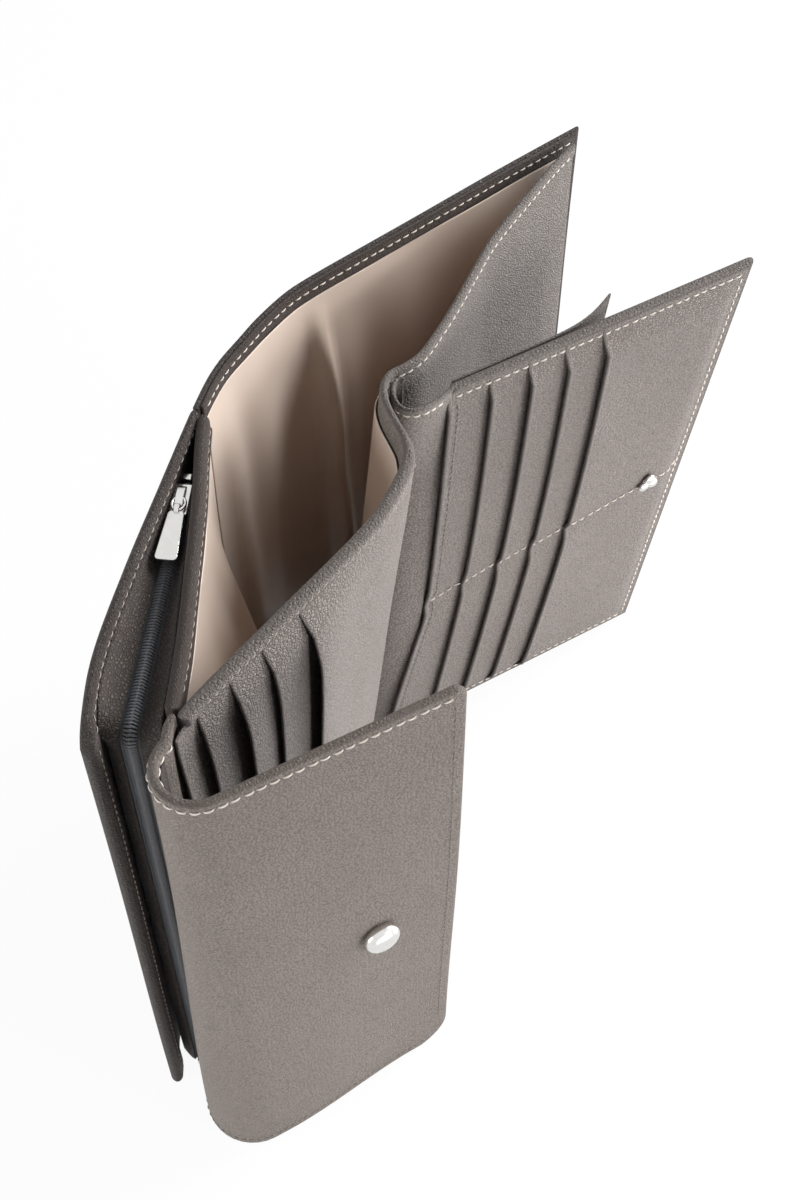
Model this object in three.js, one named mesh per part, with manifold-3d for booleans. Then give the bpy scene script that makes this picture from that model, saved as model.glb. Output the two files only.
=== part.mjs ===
// A leather travel wallet standing open on its short edge: a zipped outer pocket, a bill pocket,
// two stacks of card pockets, a loose page and a snap flap.
// Millimetres, +Z up. The bill pocket's front wall runs along +Y, and its front faces +X.
import * as THREE from 'three';
import { mergeVertices } from 'three/addons/utils/BufferGeometryUtils.js';
import Module from 'manifold-3d';

const wasm = await Module();
wasm.setup();

// Driving dimensions
const height = 190;
const coverLeather = 2.0;
const wallLeather = 1.4;
const liningCloth = 0.6;
const layerGap = 0.3;
const facingHeight = 14;
const pocketFoot = 2.2; // the pocket's front wall hangs clear of the pocket floor
const cardSheet = 0.8;
const cardStep = 1.15; // thickness of one card pocket and the gap behind it
const lipSpacing = 3; // points of the wall's outline from one pocket's lip to the next
const cardPockets = 5;
const foldFoot = new THREE.Vector2(-19, 8.8); // how far the pocket's fold line runs back at its foot
const leftReach = 110; // from the fold line to where the front wall stands upright again
const rightReach = 95;

// Plan outlines of the walls at their top edge
const zipWallPoints = [[-15.5, -126], [-25, -106], [-32, -81], [-38, -54.5], [-43, -32]];
const innerWallPoints = [[-2.4, -109.5], [-9.4, -92.7], [-17.7, -75], [-26.8, -56], [-34.2, -42],
  [-38.7, -33]];
const spinePoints = [[-43.2, -30.4], [-44.9, -21], [-45.4, -13], [-44.6, -4], [-44.4, 4.4], [-42.4, 15.4]];
const coverPoints = [[-41.9, 16.8], [-39.6, 24], [-32.7, 40.7], [-24.2, 60.3], [-0.5, 114.3]];
const leftWallPoints = [[0, -110.5], [1.2, -100], [6.1, -76], [11.4, -48], [12.7, -34], [11.6, -22.5],
  [6.3, -15], [1.6, -11.2], [-1.6, -8.4]];
const rightWallPoints = [[-5.2, -3.6], [-5.6, 0.5], [-4.4, 6], [-2.6, 37.5], [-1.4, 80], [-1.1, 97]];
const hingeStripPoints = [[-1, 3.4], [0.6, 1.8], [3.2, 1.7], [5.4, 2.9], [6.9, 4.3]];

// Flap: a round turn about a vertical line, then a flat panel
const turnCentre = new THREE.Vector2(9.5, -119.2);
const turnRadius = 10.3;
const flapAngle = THREE.MathUtils.degToRad(55);
const flapLength = 60.3;
const flapLeather = 1.3;
const flapLiningInset = 2;
const flapTopCorner = 4;
const flapFootCorner = 13;
const snapAlong = 36.7;
const snapHeight = 94.8;
const snapHole = 1.5;
const studFromEdge = 24;

// Zip: a straight run along the top, a round corner and a run down the front
const zipStart = new THREE.Vector2(-37.8, -40.6);
const zipDirection = new THREE.Vector2(0.346, -0.938).normalize();
const zipRun = 81.8;
const zipTop = 184.2;
const coilDepth = 2.0;
const coilWidth = 1.4;
const coilCorner = 5;
const tapeTop = 183.1;
const tapeCloth = 0.6;
const sliderAlong = 14.5;

// Page: a leaf that leans a little and droops at its free edge
const pageCorner = new THREE.Vector3(9.2, 6.4, 185.6);
const pageWidth = 98.4;
const pageHeight = 182.8;
const pageYaw = THREE.MathUtils.degToRad(57.1);
const pageLean = THREE.MathUtils.degToRad(6.6);
const pageDroop = THREE.MathUtils.degToRad(0.9);
const pageLeather = 0.9;
const pageBacking = 0.7;
const pageSheet = 0.4;
const pageStep = 0.65;
const pagePitch = 12.5;
const pageStudAt = [81.8, -87.3];

function finish(color, roughness, metalness = 0) {
  return new THREE.MeshStandardMaterial({ color, roughness, metalness });
}

const leather = finish(0x5f574f, 0.62);
const paleLeather = finish(0x6f6963, 0.6);
const satin = finish(0xd8c3ae, 0.45);
const tapeWeave = finish(0x35363a, 0.85);
const coilNylon = finish(0x3c434b, 0.5);
const nickel = finish(0xc9c9c6, 0.25, 1);

const wallet = new THREE.Group();

function add(name, geometry, material, parent = wallet) {
  const mesh = new THREE.Mesh(geometry, material);
  mesh.name = name;
  parent.add(mesh);
}

function solid(geometry) {
  const bare = geometry.clone();
  bare.deleteAttribute('normal');
  bare.deleteAttribute('uv');
  const merged = mergeVertices(bare, 1e-4);
  return new wasm.Manifold(new wasm.Mesh({
    numProp: 3,
    vertProperties: new Float32Array(merged.attributes.position.array),
    triVerts: new Uint32Array(merged.index.array),
  }));
}

function surface(manifold) {
  const mesh = manifold.getMesh();
  const geometry = new THREE.BufferGeometry();
  geometry.setAttribute('position', new THREE.BufferAttribute(new Float32Array(mesh.vertProperties), 3));
  geometry.setIndex(Array.from(mesh.triVerts));
  return facet(geometry);
}

const join = (...parts) => surface(parts.map(solid).reduce((whole, part) => whole.add(part)));
const cut = (whole, tool) => surface(solid(whole).subtract(solid(tool)));

// Paths in plan
const corner = ([x, y]) => new THREE.Vector2(x, y);

function smooth(points, count) {
  return new THREE.SplineCurve(points.map(corner)).getSpacedPoints(count);
}

function offsetPath(path, distance) {
  return path.map((point, i) => {
    const before = path[Math.max(0, i - 1)];
    const after = path[Math.min(path.length - 1, i + 1)];
    const along = after.clone().sub(before).normalize();
    return new THREE.Vector2(point.x - along.y * distance, point.y + along.x * distance);
  });
}

function arcPath(centre, radius, fromDegrees, toDegrees, count) {
  return Array.from({ length: count + 1 }, (_, i) => {
    const angle = THREE.MathUtils.degToRad(fromDegrees + ((toDegrees - fromDegrees) * i) / count);
    return new THREE.Vector2(centre.x + radius * Math.cos(angle), centre.y + radius * Math.sin(angle));
  });
}

function facet(geometry) {
  const flat = geometry.index ? geometry.toNonIndexed() : geometry;
  flat.computeVertexNormals();
  return flat;
}

// Solids from paths: near and far are distances to the left of the path, and from and to pick its points
function plate(outline, bottom, top, steps = 1) {
  const geometry = new THREE.ExtrudeGeometry(new THREE.Shape(outline), {
    depth: top - bottom, steps, bevelEnabled: false,
  });
  return geometry.translate(0, 0, bottom);
}

function wall(path, near, far, bottom, top, steps = 1, from = 0, to = path.length - 1) {
  const sides = [near, far].map((distance) => offsetPath(path, distance).slice(from, to + 1));
  const last = to - from;
  const positions = [];
  for (let level = 0; level <= steps; level += 1) {
    const z = bottom + ((top - bottom) * level) / steps;
    for (let i = 0; i <= last; i += 1) {
      sides.forEach((side) => positions.push(side[i].x, side[i].y, z));
    }
  }
  const right = (level, i) => 2 * (level * (last + 1) + i);
  const left = (level, i) => right(level, i) + 1;
  const faces = [];
  const quad = (a, b, c, d) => faces.push(a, b, c, a, c, d);
  for (let i = 0; i < last; i += 1) {
    quad(right(0, i), left(0, i), left(0, i + 1), right(0, i + 1));
    quad(right(steps, i), right(steps, i + 1), left(steps, i + 1), left(steps, i));
    for (let k = 0; k < steps; k += 1) {
      quad(right(k, i), right(k, i + 1), right(k + 1, i + 1), right(k + 1, i));
      quad(left(k, i + 1), left(k, i), left(k + 1, i), left(k + 1, i + 1));
    }
  }
  for (let k = 0; k < steps; k += 1) {
    quad(left(k, 0), right(k, 0), right(k + 1, 0), left(k + 1, 0));
    quad(right(k, last), left(k, last), left(k + 1, last), right(k + 1, last));
  }
  const geometry = new THREE.BufferGeometry();
  geometry.setAttribute('position', new THREE.Float32BufferAttribute(positions, 3));
  geometry.setIndex(faces);
  return facet(geometry);
}

// The pocket's front wall runs back towards the spine at its foot, most at the fold line
function leanIn(geometry) {
  const position = geometry.attributes.position;
  for (let i = 0; i < position.count; i += 1) {
    const y = position.getY(i);
    const reach = y < 0 ? 1 - (y / leftReach) ** 2 : 1 - y / rightReach;
    const share = Math.max(0, reach) * (1 - position.getZ(i) / height);
    position.setX(i, position.getX(i) + foldFoot.x * share);
    position.setY(i, y + foldFoot.y * share);
  }
  return facet(geometry);
}

function turned(profile, sides = 24) {
  return new THREE.LatheGeometry(profile.map(corner), sides);
}

// Moves a turned piece, whose axis is Y, to a point with its axis along a direction
function standOn(geometry, point, direction) {
  const turn = new THREE.Quaternion().setFromUnitVectors(new THREE.Vector3(0, 1, 0), direction);
  return geometry.applyQuaternion(turn).translate(point.x, point.y, point.z);
}

function box(x0, x1, y0, y1, z0, z1) {
  const geometry = new THREE.BoxGeometry(x1 - x0, y1 - y0, z1 - z0);
  return geometry.translate((x0 + x1) / 2, (y0 + y1) / 2, (z0 + z1) / 2);
}

// Zip pocket: outer wall, inner wall, their linings and the floor
const zipWall = smooth(zipWallPoints, 20);
const innerWall = smooth(innerWallPoints, 20);
const innerWallLeather = 1.6;
const tapeFoot = 2;
const bandTop = height - 0.6;
const liningTop = height - facingHeight - 0.8;
const innerFacing = 6;

add('zip_outer_wall', wall(zipWall, -coverLeather, 0, 0, height), leather);
add('zip_inner_wall', wall(innerWall, 0, innerWallLeather, 0, height), leather);
add('zip_lining_outer', wall(zipWall, -coverLeather - 0.9, -coverLeather - 0.3,
  tapeFoot, height - 10, 1, 1, 17), satin);
add('zip_lining_inner', wall(innerWall, innerWallLeather + 0.3, innerWallLeather + 0.9,
  tapeFoot, height - 10, 1, 1, 16), satin);
add('inner_wall_lining', wall(innerWall, -layerGap - liningCloth, -layerGap,
  pocketFoot, bandTop - innerFacing - 0.4, 1, 3, 19), satin);
add('inner_wall_facing', wall(innerWall, -layerGap - 1, -layerGap,
  bandTop - innerFacing, bandTop, 1, 3, 19), leather);

const zipFloorOutline = [
  ...offsetPath(zipWall, -coverLeather - 1.3).slice(2, 17),
  ...offsetPath(innerWall, innerWallLeather + 1.3).slice(2, 17).reverse(),
];
add('zip_pocket_floor', plate(zipFloorOutline, 0.3, 0.3 + liningCloth), satin);

// Zip: tapes, coils, stops
const zipLeft = new THREE.Vector2(-zipDirection.y, zipDirection.x);
const zipPoint = (along, across) => zipStart.clone()
  .addScaledVector(zipDirection, along).addScaledVector(zipLeft, across);
const tapeEdge = 0.15 + coilWidth + 0.35; // from the zip's middle line to the tape
const tapeBottom = tapeTop - tapeCloth;
const frontRun = zipRun - 1;
const tapeStart = 12;
const coilStart = 7.5;

function zipTape(side, wallSide, wallEnd) {
  const coilSide = [zipPoint(tapeStart, side * tapeEdge), zipPoint(zipRun, side * tapeEdge)];
  const top = plate([...wallSide, ...coilSide], tapeBottom, tapeTop);
  const frontPath = [zipPoint(frontRun, side * (tapeEdge + 0.2)), wallEnd];
  const front = wall(frontPath, -tapeCloth / 2, tapeCloth / 2, tapeFoot, tapeTop - tapeCloth / 2);
  return join(top, front);
}

const outerTapeSide = offsetPath(zipWall, -coverLeather - 0.4).slice(0, 16);
const innerTapeSide = offsetPath(innerWall, innerWallLeather + 0.4).slice(0, 14);
const outerTapeEnd = outerTapeSide[0].clone().add(corner([0.2, 0.5]));
add('zip_tape_outer', zipTape(-1, outerTapeSide, outerTapeEnd), tapeWeave);
add('zip_tape_inner', zipTape(1, innerTapeSide, innerTapeSide[0]), tapeWeave);

const zipPlane = new THREE.Matrix4().makeBasis(
  new THREE.Vector3(zipDirection.x, zipDirection.y, 0),
  new THREE.Vector3(0, 0, 1),
  new THREE.Vector3(-zipLeft.x, -zipLeft.y, 0),
).setPosition(zipStart.x, zipStart.y, 0);

function coil(side) {
  const band = new THREE.Shape();
  const inside = coilCorner - coilDepth;
  const coilFoot = 4.2;
  band.moveTo(coilStart, zipTop - coilDepth);
  band.lineTo(zipRun - coilCorner, zipTop - coilDepth);
  band.absarc(zipRun - coilCorner, zipTop - coilCorner, inside, Math.PI / 2, 0, true);
  band.lineTo(zipRun - coilDepth, coilFoot);
  band.lineTo(zipRun, coilFoot);
  band.lineTo(zipRun, zipTop - coilCorner);
  band.absarc(zipRun - coilCorner, zipTop - coilCorner, coilCorner, 0, Math.PI / 2, false);
  band.lineTo(coilStart, zipTop);
  const geometry = new THREE.ExtrudeGeometry(band, {
    depth: coilWidth, curveSegments: 5, bevelEnabled: false,
  });
  return geometry.translate(0, 0, -coilWidth / 2 - side * (coilWidth / 2 + 0.15)).applyMatrix4(zipPlane);
}

add('zip_coil_outer', coil(-1), coilNylon);
add('zip_coil_inner', coil(1), coilNylon);

const zipFrame = new THREE.Group();
zipFrame.position.set(zipStart.x, zipStart.y, 0);
zipFrame.rotation.z = Math.atan2(zipDirection.y, zipDirection.x);
wallet.add(zipFrame);
const topStop = box(coilStart - 2.3, coilStart - 0.3, -1.2, 1.2, zipTop - coilDepth, zipTop + 0.3);
add('zip_top_stop', topStop, nickel, zipFrame);
add('zip_bottom_stop', box(zipRun - 2.3, zipRun + 0.3, -1.4, 1.4, 1.2, 3.8), nickel, zipFrame);

// Slider and pull, in the zip's own frame: x along the zip, y across it
const plateBottom = zipTop + 0.3;
const plateTop = plateBottom + 1.1;
const sliderPlan = [[-4, -1.4], [-2.6, -2.2], [3.2, -2.2], [4, -1.5], [4, 1.5], [3.2, 2.2],
  [-2.6, 2.2], [-4, 1.4]];
const archOutline = [[-3.2, 0], [-3.2, 2], [-2.2, 3.1], [1.6, 3.1], [2.6, 2], [2.6, 0], [1.6, 0], [1.6, 1.7],
  [1.1, 2.3], [-1.7, 2.3], [-2.2, 1.7], [-2.2, 0]];
const archWidth = 1.2;
const arch = new THREE.ExtrudeGeometry(new THREE.Shape(archOutline.map(corner)),
  { depth: archWidth, bevelEnabled: false })
  .translate(0, 0, -archWidth / 2).rotateX(Math.PI / 2).translate(0, 0, plateTop - 0.1);
const sliderBody = join(
  plate(sliderPlan.map(corner), plateBottom, plateTop),
  box(-2.6, 3.2, -2.2, -1.8, plateBottom - 0.9, plateBottom + 0.2),
  box(-2.6, 3.2, 1.8, 2.2, plateBottom - 0.9, plateBottom + 0.2),
  arch,
);
const sliderFrame = new THREE.Group();
sliderFrame.position.x = sliderAlong;
zipFrame.add(sliderFrame);
add('zip_slider', sliderBody, nickel, sliderFrame);

const pullLevel = plateTop + 1.1;
const ringRadius = 2.2;
const ringStretch = 1.25;
const ringNear = 0.6;
const wire = 0.42;
const ring = new THREE.TorusGeometry(ringRadius, wire, 8, 24).scale(ringStretch, 1, 1)
  .translate(ringNear + ringRadius * ringStretch, 0, pullLevel);
add('pull_ring', ring, nickel, sliderFrame);

const eyeAt = ringNear + 2 * ringRadius * ringStretch;
const eyeOutline = new THREE.Shape().absarc(0, 0, 1.5, 0, 2 * Math.PI, false);
eyeOutline.holes.push(new THREE.Path().absarc(0, 0, 0.95, 0, 2 * Math.PI, true));
const eye = new THREE.ExtrudeGeometry(eyeOutline, { depth: 1.4, curveSegments: 8, bevelEnabled: false })
  .translate(0, 0, -0.7).rotateX(Math.PI / 2).translate(eyeAt, 0, pullLevel);
const tabEnd = 20;
const tabOutline = new THREE.Shape();
tabOutline.moveTo(eyeAt + 1.1, -1.4);
tabOutline.lineTo(tabEnd - 1.2, -2.8);
tabOutline.quadraticCurveTo(tabEnd, -2.9, tabEnd, -1.7);
tabOutline.lineTo(tabEnd, 1.7);
tabOutline.quadraticCurveTo(tabEnd, 2.9, tabEnd - 1.2, 2.8);
tabOutline.lineTo(eyeAt + 1.1, 1.4);
const tab = new THREE.ExtrudeGeometry(tabOutline, { depth: 1, curveSegments: 4, bevelEnabled: false })
  .translate(0, 0, pullLevel - 0.5);
add('pull_tab', join(eye, tab), nickel, sliderFrame);

// Spine and cover with their linings, top facings and the snap's lower half
const spine = smooth(spinePoints, 12);
const cover = smooth(coverPoints, 20);
const insideNear = -coverLeather - layerGap;

add('spine_panel', wall(spine, -coverLeather, 0, 0, height), leather);
const liningFar = insideNear - liningCloth;
const facingFar = insideNear - 1;
const liningFoot = pocketFoot + 0.8;
const facingFoot = height - facingHeight;
add('spine_lining', wall(spine, liningFar, insideNear, liningFoot, liningTop, 1, 1, 11), satin);
add('spine_facing', wall(spine, facingFar, insideNear, facingFoot, bandTop, 1, 1, 11), leather);
add('cover_lining', wall(cover, liningFar, insideNear, liningFoot, liningTop, 1, 1, 17), satin);
add('cover_facing', wall(cover, facingFar, insideNear, facingFoot, bandTop, 1, 1, 17), leather);

const coverEdge = corner(coverPoints.at(-1));
const coverAlong = coverEdge.clone().sub(corner(coverPoints.at(-2))).normalize();
const coverOut = new THREE.Vector3(-coverAlong.y, coverAlong.x, 0);
const studPlan = coverEdge.clone().addScaledVector(coverAlong, -studFromEdge);
const studPoint = new THREE.Vector3(studPlan.x, studPlan.y, snapHeight);
const studHole = turned([[0, -2.6], [4.4, -2.6], [4.4, -1.1], [snapHole, -1.1], [snapHole, 1], [0, 1]]);
const coverBlank = wall(cover, -coverLeather, 0, 0, height);
add('cover_panel', cut(coverBlank, standOn(studHole, studPoint, coverOut)), leather);
const studProfile = [[0, -1.05], [1.2, -1.05], [1.2, 0.3], [4.6, 0.3], [4.6, 0.7], [2.6, 1.1], [1.9, 1.5],
  [1.9, 2.2], [2.3, 2.7], [2, 3.2], [0, 3.4]];
add('snap_stud', standOn(turned(studProfile), studPoint, coverOut), nickel);
const postProfile = [[0, -1.95], [4, -1.95], [4, -1.4], [0, -1.4]];
add('snap_stud_post', standOn(turned(postProfile), studPoint, coverOut), nickel);

// Bill pocket: front wall in two halves, linings, floors
const wallSteps = 8;
const half = wallLeather / 2;
const leftWall = smooth(leftWallPoints, 33);
const rightWall = smooth(rightWallPoints, 18);
add('left_wall', leanIn(wall(leftWall, -half, half, pocketFoot, height, wallSteps)), paleLeather);
add('left_wall_lining', leanIn(wall(leftWall, half + layerGap, half + layerGap + liningCloth,
  pocketFoot + 1, bandTop - 5, wallSteps, 3, 27)), satin);
add('right_wall', leanIn(wall(rightWall, -half, half, pocketFoot, height, wallSteps)), paleLeather);
add('right_wall_lining', leanIn(wall(rightWall, half + layerGap, half + layerGap + liningCloth,
  pocketFoot + 1, bandTop - 5, wallSteps, 2, 15)), satin);

const rootFloor = [[-5.5, -99], [-8, -76], [-9, -48], [-14.5, -24], [-27, -4], [-35, -4], [-37, -26],
  [-26, -51.5], [-13, -79]];
const coverFloor = [[-36.8, 20], [-25.5, 46.5], [-19.8, 58], [-21.5, 46], [-26.5, 22], [-27.5, 8], [-36, 8]];
const floorCloth = 0.5;
add('bill_floor_front', plate(rootFloor.map(corner), 0.3, 0.3 + floorCloth), satin);
add('bill_floor_back', plate(coverFloor.map(corner), 1.3, 1.3 + floorCloth), satin);

// Card pockets on the left wall: each sheet lies in front of the last and starts one pitch later
const leftPocketEnd = 22;
for (let i = 0; i < cardPockets; i += 1) {
  const near = -half - 0.35 - i * cardStep;
  const sheet = wall(leftWall, near - cardSheet, near, pocketFoot + 0.6, bandTop, wallSteps,
    i * lipSpacing, leftPocketEnd);
  add(`left_card_pocket_${i + 1}`, leanIn(sheet), paleLeather);
}

// Flap: a root tab inside the turn, then the flap with its lining and the snap's upper half
const tabRadius = 8;
const rootTabTurn = arcPath(turnCentre, tabRadius, 174, 298, 12);
const rootTab = [corner([-1.8, -111.4]), corner([0.4, -114.6]), ...rootTabTurn];
add('flap_root_tab', wall(rootTab, -0.6, 0.6, 0, height), leather);

const flapTangent = THREE.MathUtils.radToDeg(flapAngle) - 90 + 360;
const flapU = new THREE.Vector3(Math.cos(flapAngle), Math.sin(flapAngle), 0);
const flapOut = new THREE.Vector3(Math.sin(flapAngle), -Math.cos(flapAngle), 0);
const flapStart = arcPath(turnCentre, turnRadius, flapTangent, flapTangent, 1)[0];
const flapPlane = new THREE.Matrix4().makeBasis(flapU, new THREE.Vector3(0, 0, 1), flapOut)
  .setPosition(flapStart.x, flapStart.y, 0);

function flapSheet(start, inset, outer, thickness) {
  const end = flapLength - inset;
  const top = height - inset;
  const shape = new THREE.Shape();
  shape.moveTo(start, inset);
  shape.lineTo(end - flapFootCorner, inset);
  shape.absarc(end - flapFootCorner, inset + flapFootCorner, flapFootCorner, -Math.PI / 2, 0, false);
  shape.lineTo(end, top - flapTopCorner);
  shape.absarc(end - flapTopCorner, top - flapTopCorner, flapTopCorner, 0, Math.PI / 2, false);
  shape.lineTo(start, top);
  return new THREE.ExtrudeGeometry(shape, { depth: thickness, curveSegments: 6, bevelEnabled: false })
    .translate(0, 0, outer - thickness).applyMatrix4(flapPlane);
}

const snapPoint = new THREE.Vector3(snapAlong, snapHeight, 0).applyMatrix4(flapPlane);
const boreProfile = [[0, -4], [snapHole, -4], [snapHole, 2], [0, 2]];
const snapBore = standOn(turned(boreProfile, 16), snapPoint, flapOut);
const flapTurnPath = arcPath(turnCentre, turnRadius, 286, flapTangent, 6);
flapTurnPath.push(new THREE.Vector2(flapStart.x + 0.3 * flapU.x, flapStart.y + 0.3 * flapU.y));
const flapBody = join(wall(flapTurnPath, 0, flapLeather, 0, height), flapSheet(0, 0, 0, flapLeather));
const flapLiningCloth = 0.8;
add('flap_outer', cut(flapBody, snapBore), leather);
const flapBacking = flapSheet(5, flapLiningInset, -flapLeather - layerGap, flapLiningCloth);
add('flap_lining', cut(flapBacking, snapBore), leather);

const capProfile = [[0, -3], [1.2, -3], [1.2, 0.3], [4.6, 0.3], [5.2, 1.2], [5.2, 2.2], [4.7, 3.2],
  [3.4, 4], [1.8, 4.4], [0, 4.5]];
add('snap_cap', standOn(turned(capProfile), snapPoint, flapOut), nickel);
const socketProfile = [[1.6, -2.7], [4.2, -2.7], [4, -3.7], [2.6, -4.2], [1.6, -4.2], [1.6, -2.7]].reverse();
add('snap_socket', standOn(turned(socketProfile), snapPoint, flapOut), nickel);

// Page, in its own frame: x along the leaf, y towards its back, z up from its top corner
const hingeStrip = smooth(hingeStripPoints, 10);
add('page_hinge_strip', leanIn(wall(hingeStrip, -0.6, 0.6, 4.6, pageCorner.z, wallSteps)), paleLeather);

const pageFrame = new THREE.Group();
pageFrame.position.copy(pageCorner);
pageFrame.rotation.set(pageLean, pageDroop, pageYaw, 'ZXY');
wallet.add(pageFrame);
add('page_base', box(0, pageWidth, 0, pageLeather, -pageHeight, 0), paleLeather, pageFrame);
const backing = pageLeather + layerGap;
const backPanel = box(2, pageWidth, backing, backing + pageBacking, -pageHeight, 0);
add('page_back_panel', backPanel, paleLeather, pageFrame);
for (let i = 0; i < cardPockets; i += 1) {
  const near = -layerGap - i * pageStep;
  const sheet = box(0.4 + i * pagePitch, pageWidth, near - pageSheet, near, -pageHeight, 0);
  add(`page_card_pocket_${i + 1}`, sheet, paleLeather, pageFrame);
}

const backPocketPath = smooth([[3, 2.6], [20, 2.6], [38, 2.8], [48, 4.5], [56.5, 8.2]], 12);
add('page_back_pocket', wall(backPocketPath, -0.35, 0.35, -pageHeight + 4, -0.6), paleLeather, pageFrame);

const studLobe = 1.9;
const studFront = -layerGap - cardPockets * pageStep;
const lobes = [90, 210, 330].map((degrees) => {
  const angle = THREE.MathUtils.degToRad(degrees);
  return new THREE.SphereGeometry(studLobe, 12, 8).scale(1, 0.55, 1)
    .translate(studLobe * Math.cos(angle), 0, studLobe * Math.sin(angle));
});
const studBase = new THREE.CylinderGeometry(2, 2, 0.8, 16);
const pageStud = join(studBase, ...lobes).translate(pageStudAt[0], studFront - 1.3, pageStudAt[1]);
add('page_stud', pageStud, nickel, pageFrame);

// The origin is the middle of the footprint, on the table
const bounds = new THREE.Box3().setFromObject(wallet);
const middle = bounds.getCenter(new THREE.Vector3());
wallet.position.set(-middle.x, -middle.y, 0);
wallet.updateMatrixWorld(true);

export default wallet;
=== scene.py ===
import math
from bisect import bisect_right

import bmesh
import bpy
from mathutils import Matrix, Vector


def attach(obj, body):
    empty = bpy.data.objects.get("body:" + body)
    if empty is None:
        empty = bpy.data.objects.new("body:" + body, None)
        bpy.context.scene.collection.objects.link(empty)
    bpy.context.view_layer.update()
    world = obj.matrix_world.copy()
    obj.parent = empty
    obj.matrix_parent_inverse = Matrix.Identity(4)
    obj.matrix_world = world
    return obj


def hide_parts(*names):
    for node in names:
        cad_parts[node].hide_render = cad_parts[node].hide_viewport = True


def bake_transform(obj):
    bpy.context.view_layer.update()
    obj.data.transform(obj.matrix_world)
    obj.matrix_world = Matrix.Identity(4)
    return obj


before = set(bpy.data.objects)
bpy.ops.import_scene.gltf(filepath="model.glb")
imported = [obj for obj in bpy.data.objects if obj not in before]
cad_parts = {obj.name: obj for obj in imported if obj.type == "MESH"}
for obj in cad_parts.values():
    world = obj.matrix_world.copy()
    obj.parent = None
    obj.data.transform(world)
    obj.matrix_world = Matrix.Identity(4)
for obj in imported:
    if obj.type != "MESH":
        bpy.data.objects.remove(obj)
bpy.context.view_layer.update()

mm = 0.001
planShift = Vector((-9.927, 7.4, 0.0))  # from the plan drawing to the shared frame
walletHeight = 190.0


def place(x, y, z):
    return (Vector((x, y, z)) + planShift) * mm


def ease(value):
    t = min(max(value, 0.0), 1.0)
    return t * t * (3 - 2 * t)


def hump(distance, width):
    return math.exp(-(distance / width) ** 2)


# paths and sheets


def splinePoints(points, parts=16):
    knots = [Vector(p) for p in points]
    dense = []
    for i in range(len(knots) - 1):
        before, here = knots[max(i - 1, 0)], knots[i]
        after, beyond = knots[i + 1], knots[min(i + 2, len(knots) - 1)]
        for k in range(parts):
            t = k / parts
            dense.append((here * 2 + (after - before) * t
                          + (before * 2 - here * 5 + after * 4 - beyond) * t ** 2
                          + (here * 3 - before - after * 3 + beyond) * t ** 3) / 2)
    return dense + [knots[-1]]


def smoothCurve(knots):  # value of a smooth curve through (x, value) pairs
    pairs = splinePoints(knots)
    starts = [p.x for p in pairs]

    def value(x):
        k = min(max(bisect_right(starts, x) - 1, 0), len(pairs) - 2)
        a, b = pairs[k], pairs[k + 1]
        return a.y + (b.y - a.y) * min(max((x - a.x) / max(b.x - a.x, 1e-6), 0.0), 1.0)
    return value


class PlanPath:
    def __init__(self, points, ready=False):
        self.dense = [Vector(p) for p in points] if ready else splinePoints(points)
        self.marks = [0.0]
        for a, b in zip(self.dense, self.dense[1:]):
            self.marks.append(self.marks[-1] + (b - a).length)
        self.length = self.marks[-1]

    def point(self, s):
        k = min(max(bisect_right(self.marks, s) - 1, 0), len(self.dense) - 2)
        share = (s - self.marks[k]) / (self.marks[k + 1] - self.marks[k])
        return self.dense[k].lerp(self.dense[k + 1], share)

    def left(self, s):
        along = self.point(min(s + 0.8, self.length)) - self.point(max(s - 0.8, 0.0))
        return Vector((-along.y, along.x)).normalized()

    def nearY(self, y):  # length along the path where it passes a plan y
        k = min(range(len(self.dense)), key=lambda i: abs(self.dense[i].y - y))
        return self.marks[k]


leanSettings = {"foot": Vector((-19, 8.8)), "left": 110, "right": 95, "bulge": 0.25, "bulgeAt": -24,
                "bulgeWide": 26}


def leanIn(p, z):  # the pocket's front wall runs back towards its foot, most at the bulge beside the fold
    reach = 1 - (p.y / leanSettings["left"]) ** 2 if p.y < 0 else 1 - p.y / leanSettings["right"]
    slack = leanSettings["bulge"] * hump(p.y - leanSettings["bulgeAt"], leanSettings["bulgeWide"])
    return p + leanSettings["foot"] * (max(0.0, reach) + slack) * (1 - z / walletHeight)


frontPath = PlanPath([(0, -110.5), (0.9, -102.5), (6.1, -75.9), (11.7, -47.3), (12.6, -36), (11.6, -23.5),
                      (8.6, -17.1), (4.7, -13.1), (0.5, -9.3), (-2.4, -5.9), (-4.2, -2.7), (-4.8, 0.6),
                      (-4.2, 3.1), (-2.4, 6.2), (-1.0, 10), (-0.4, 14.7), (-0.5, 25.3), (-0.9, 34),
                      (-1.8, 46.6), (-2.4, 60.6), (-0.9, 80), (0.6, 95.6), (2.1, 106.4)])
frontMarks = [frontPath.point(frontPath.length * k / 90) for k in range(91)]


def roomAt(p, z):  # distance from a plan point to the pocket's front wall at a height
    return min((leanIn(q, z) - p).length for q in frontMarks)


def wallSurface(path, offset, lean=False):
    def surface(s, z):
        depth = offset(s, z) if callable(offset) else offset
        p = path.point(s) + path.left(s) * depth
        if lean:
            p = leanIn(p, z)
        return place(p.x, p.y, z)
    return surface


def ticks(low, high, step, extra=()):
    count = max(2, round((high - low) / step))
    values = [low + (high - low) * i / count for i in range(count + 1)]
    for near in (0.1, 0.3, 0.6, 1.1, 2.0):
        values += [low + near, high - near]
    values += [v for v in extra if low < v < high]
    kept = []
    for value in sorted(values):
        if not kept or value - kept[-1] > 0.06:
            kept.append(value)
    kept[-1] = high
    return kept


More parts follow.
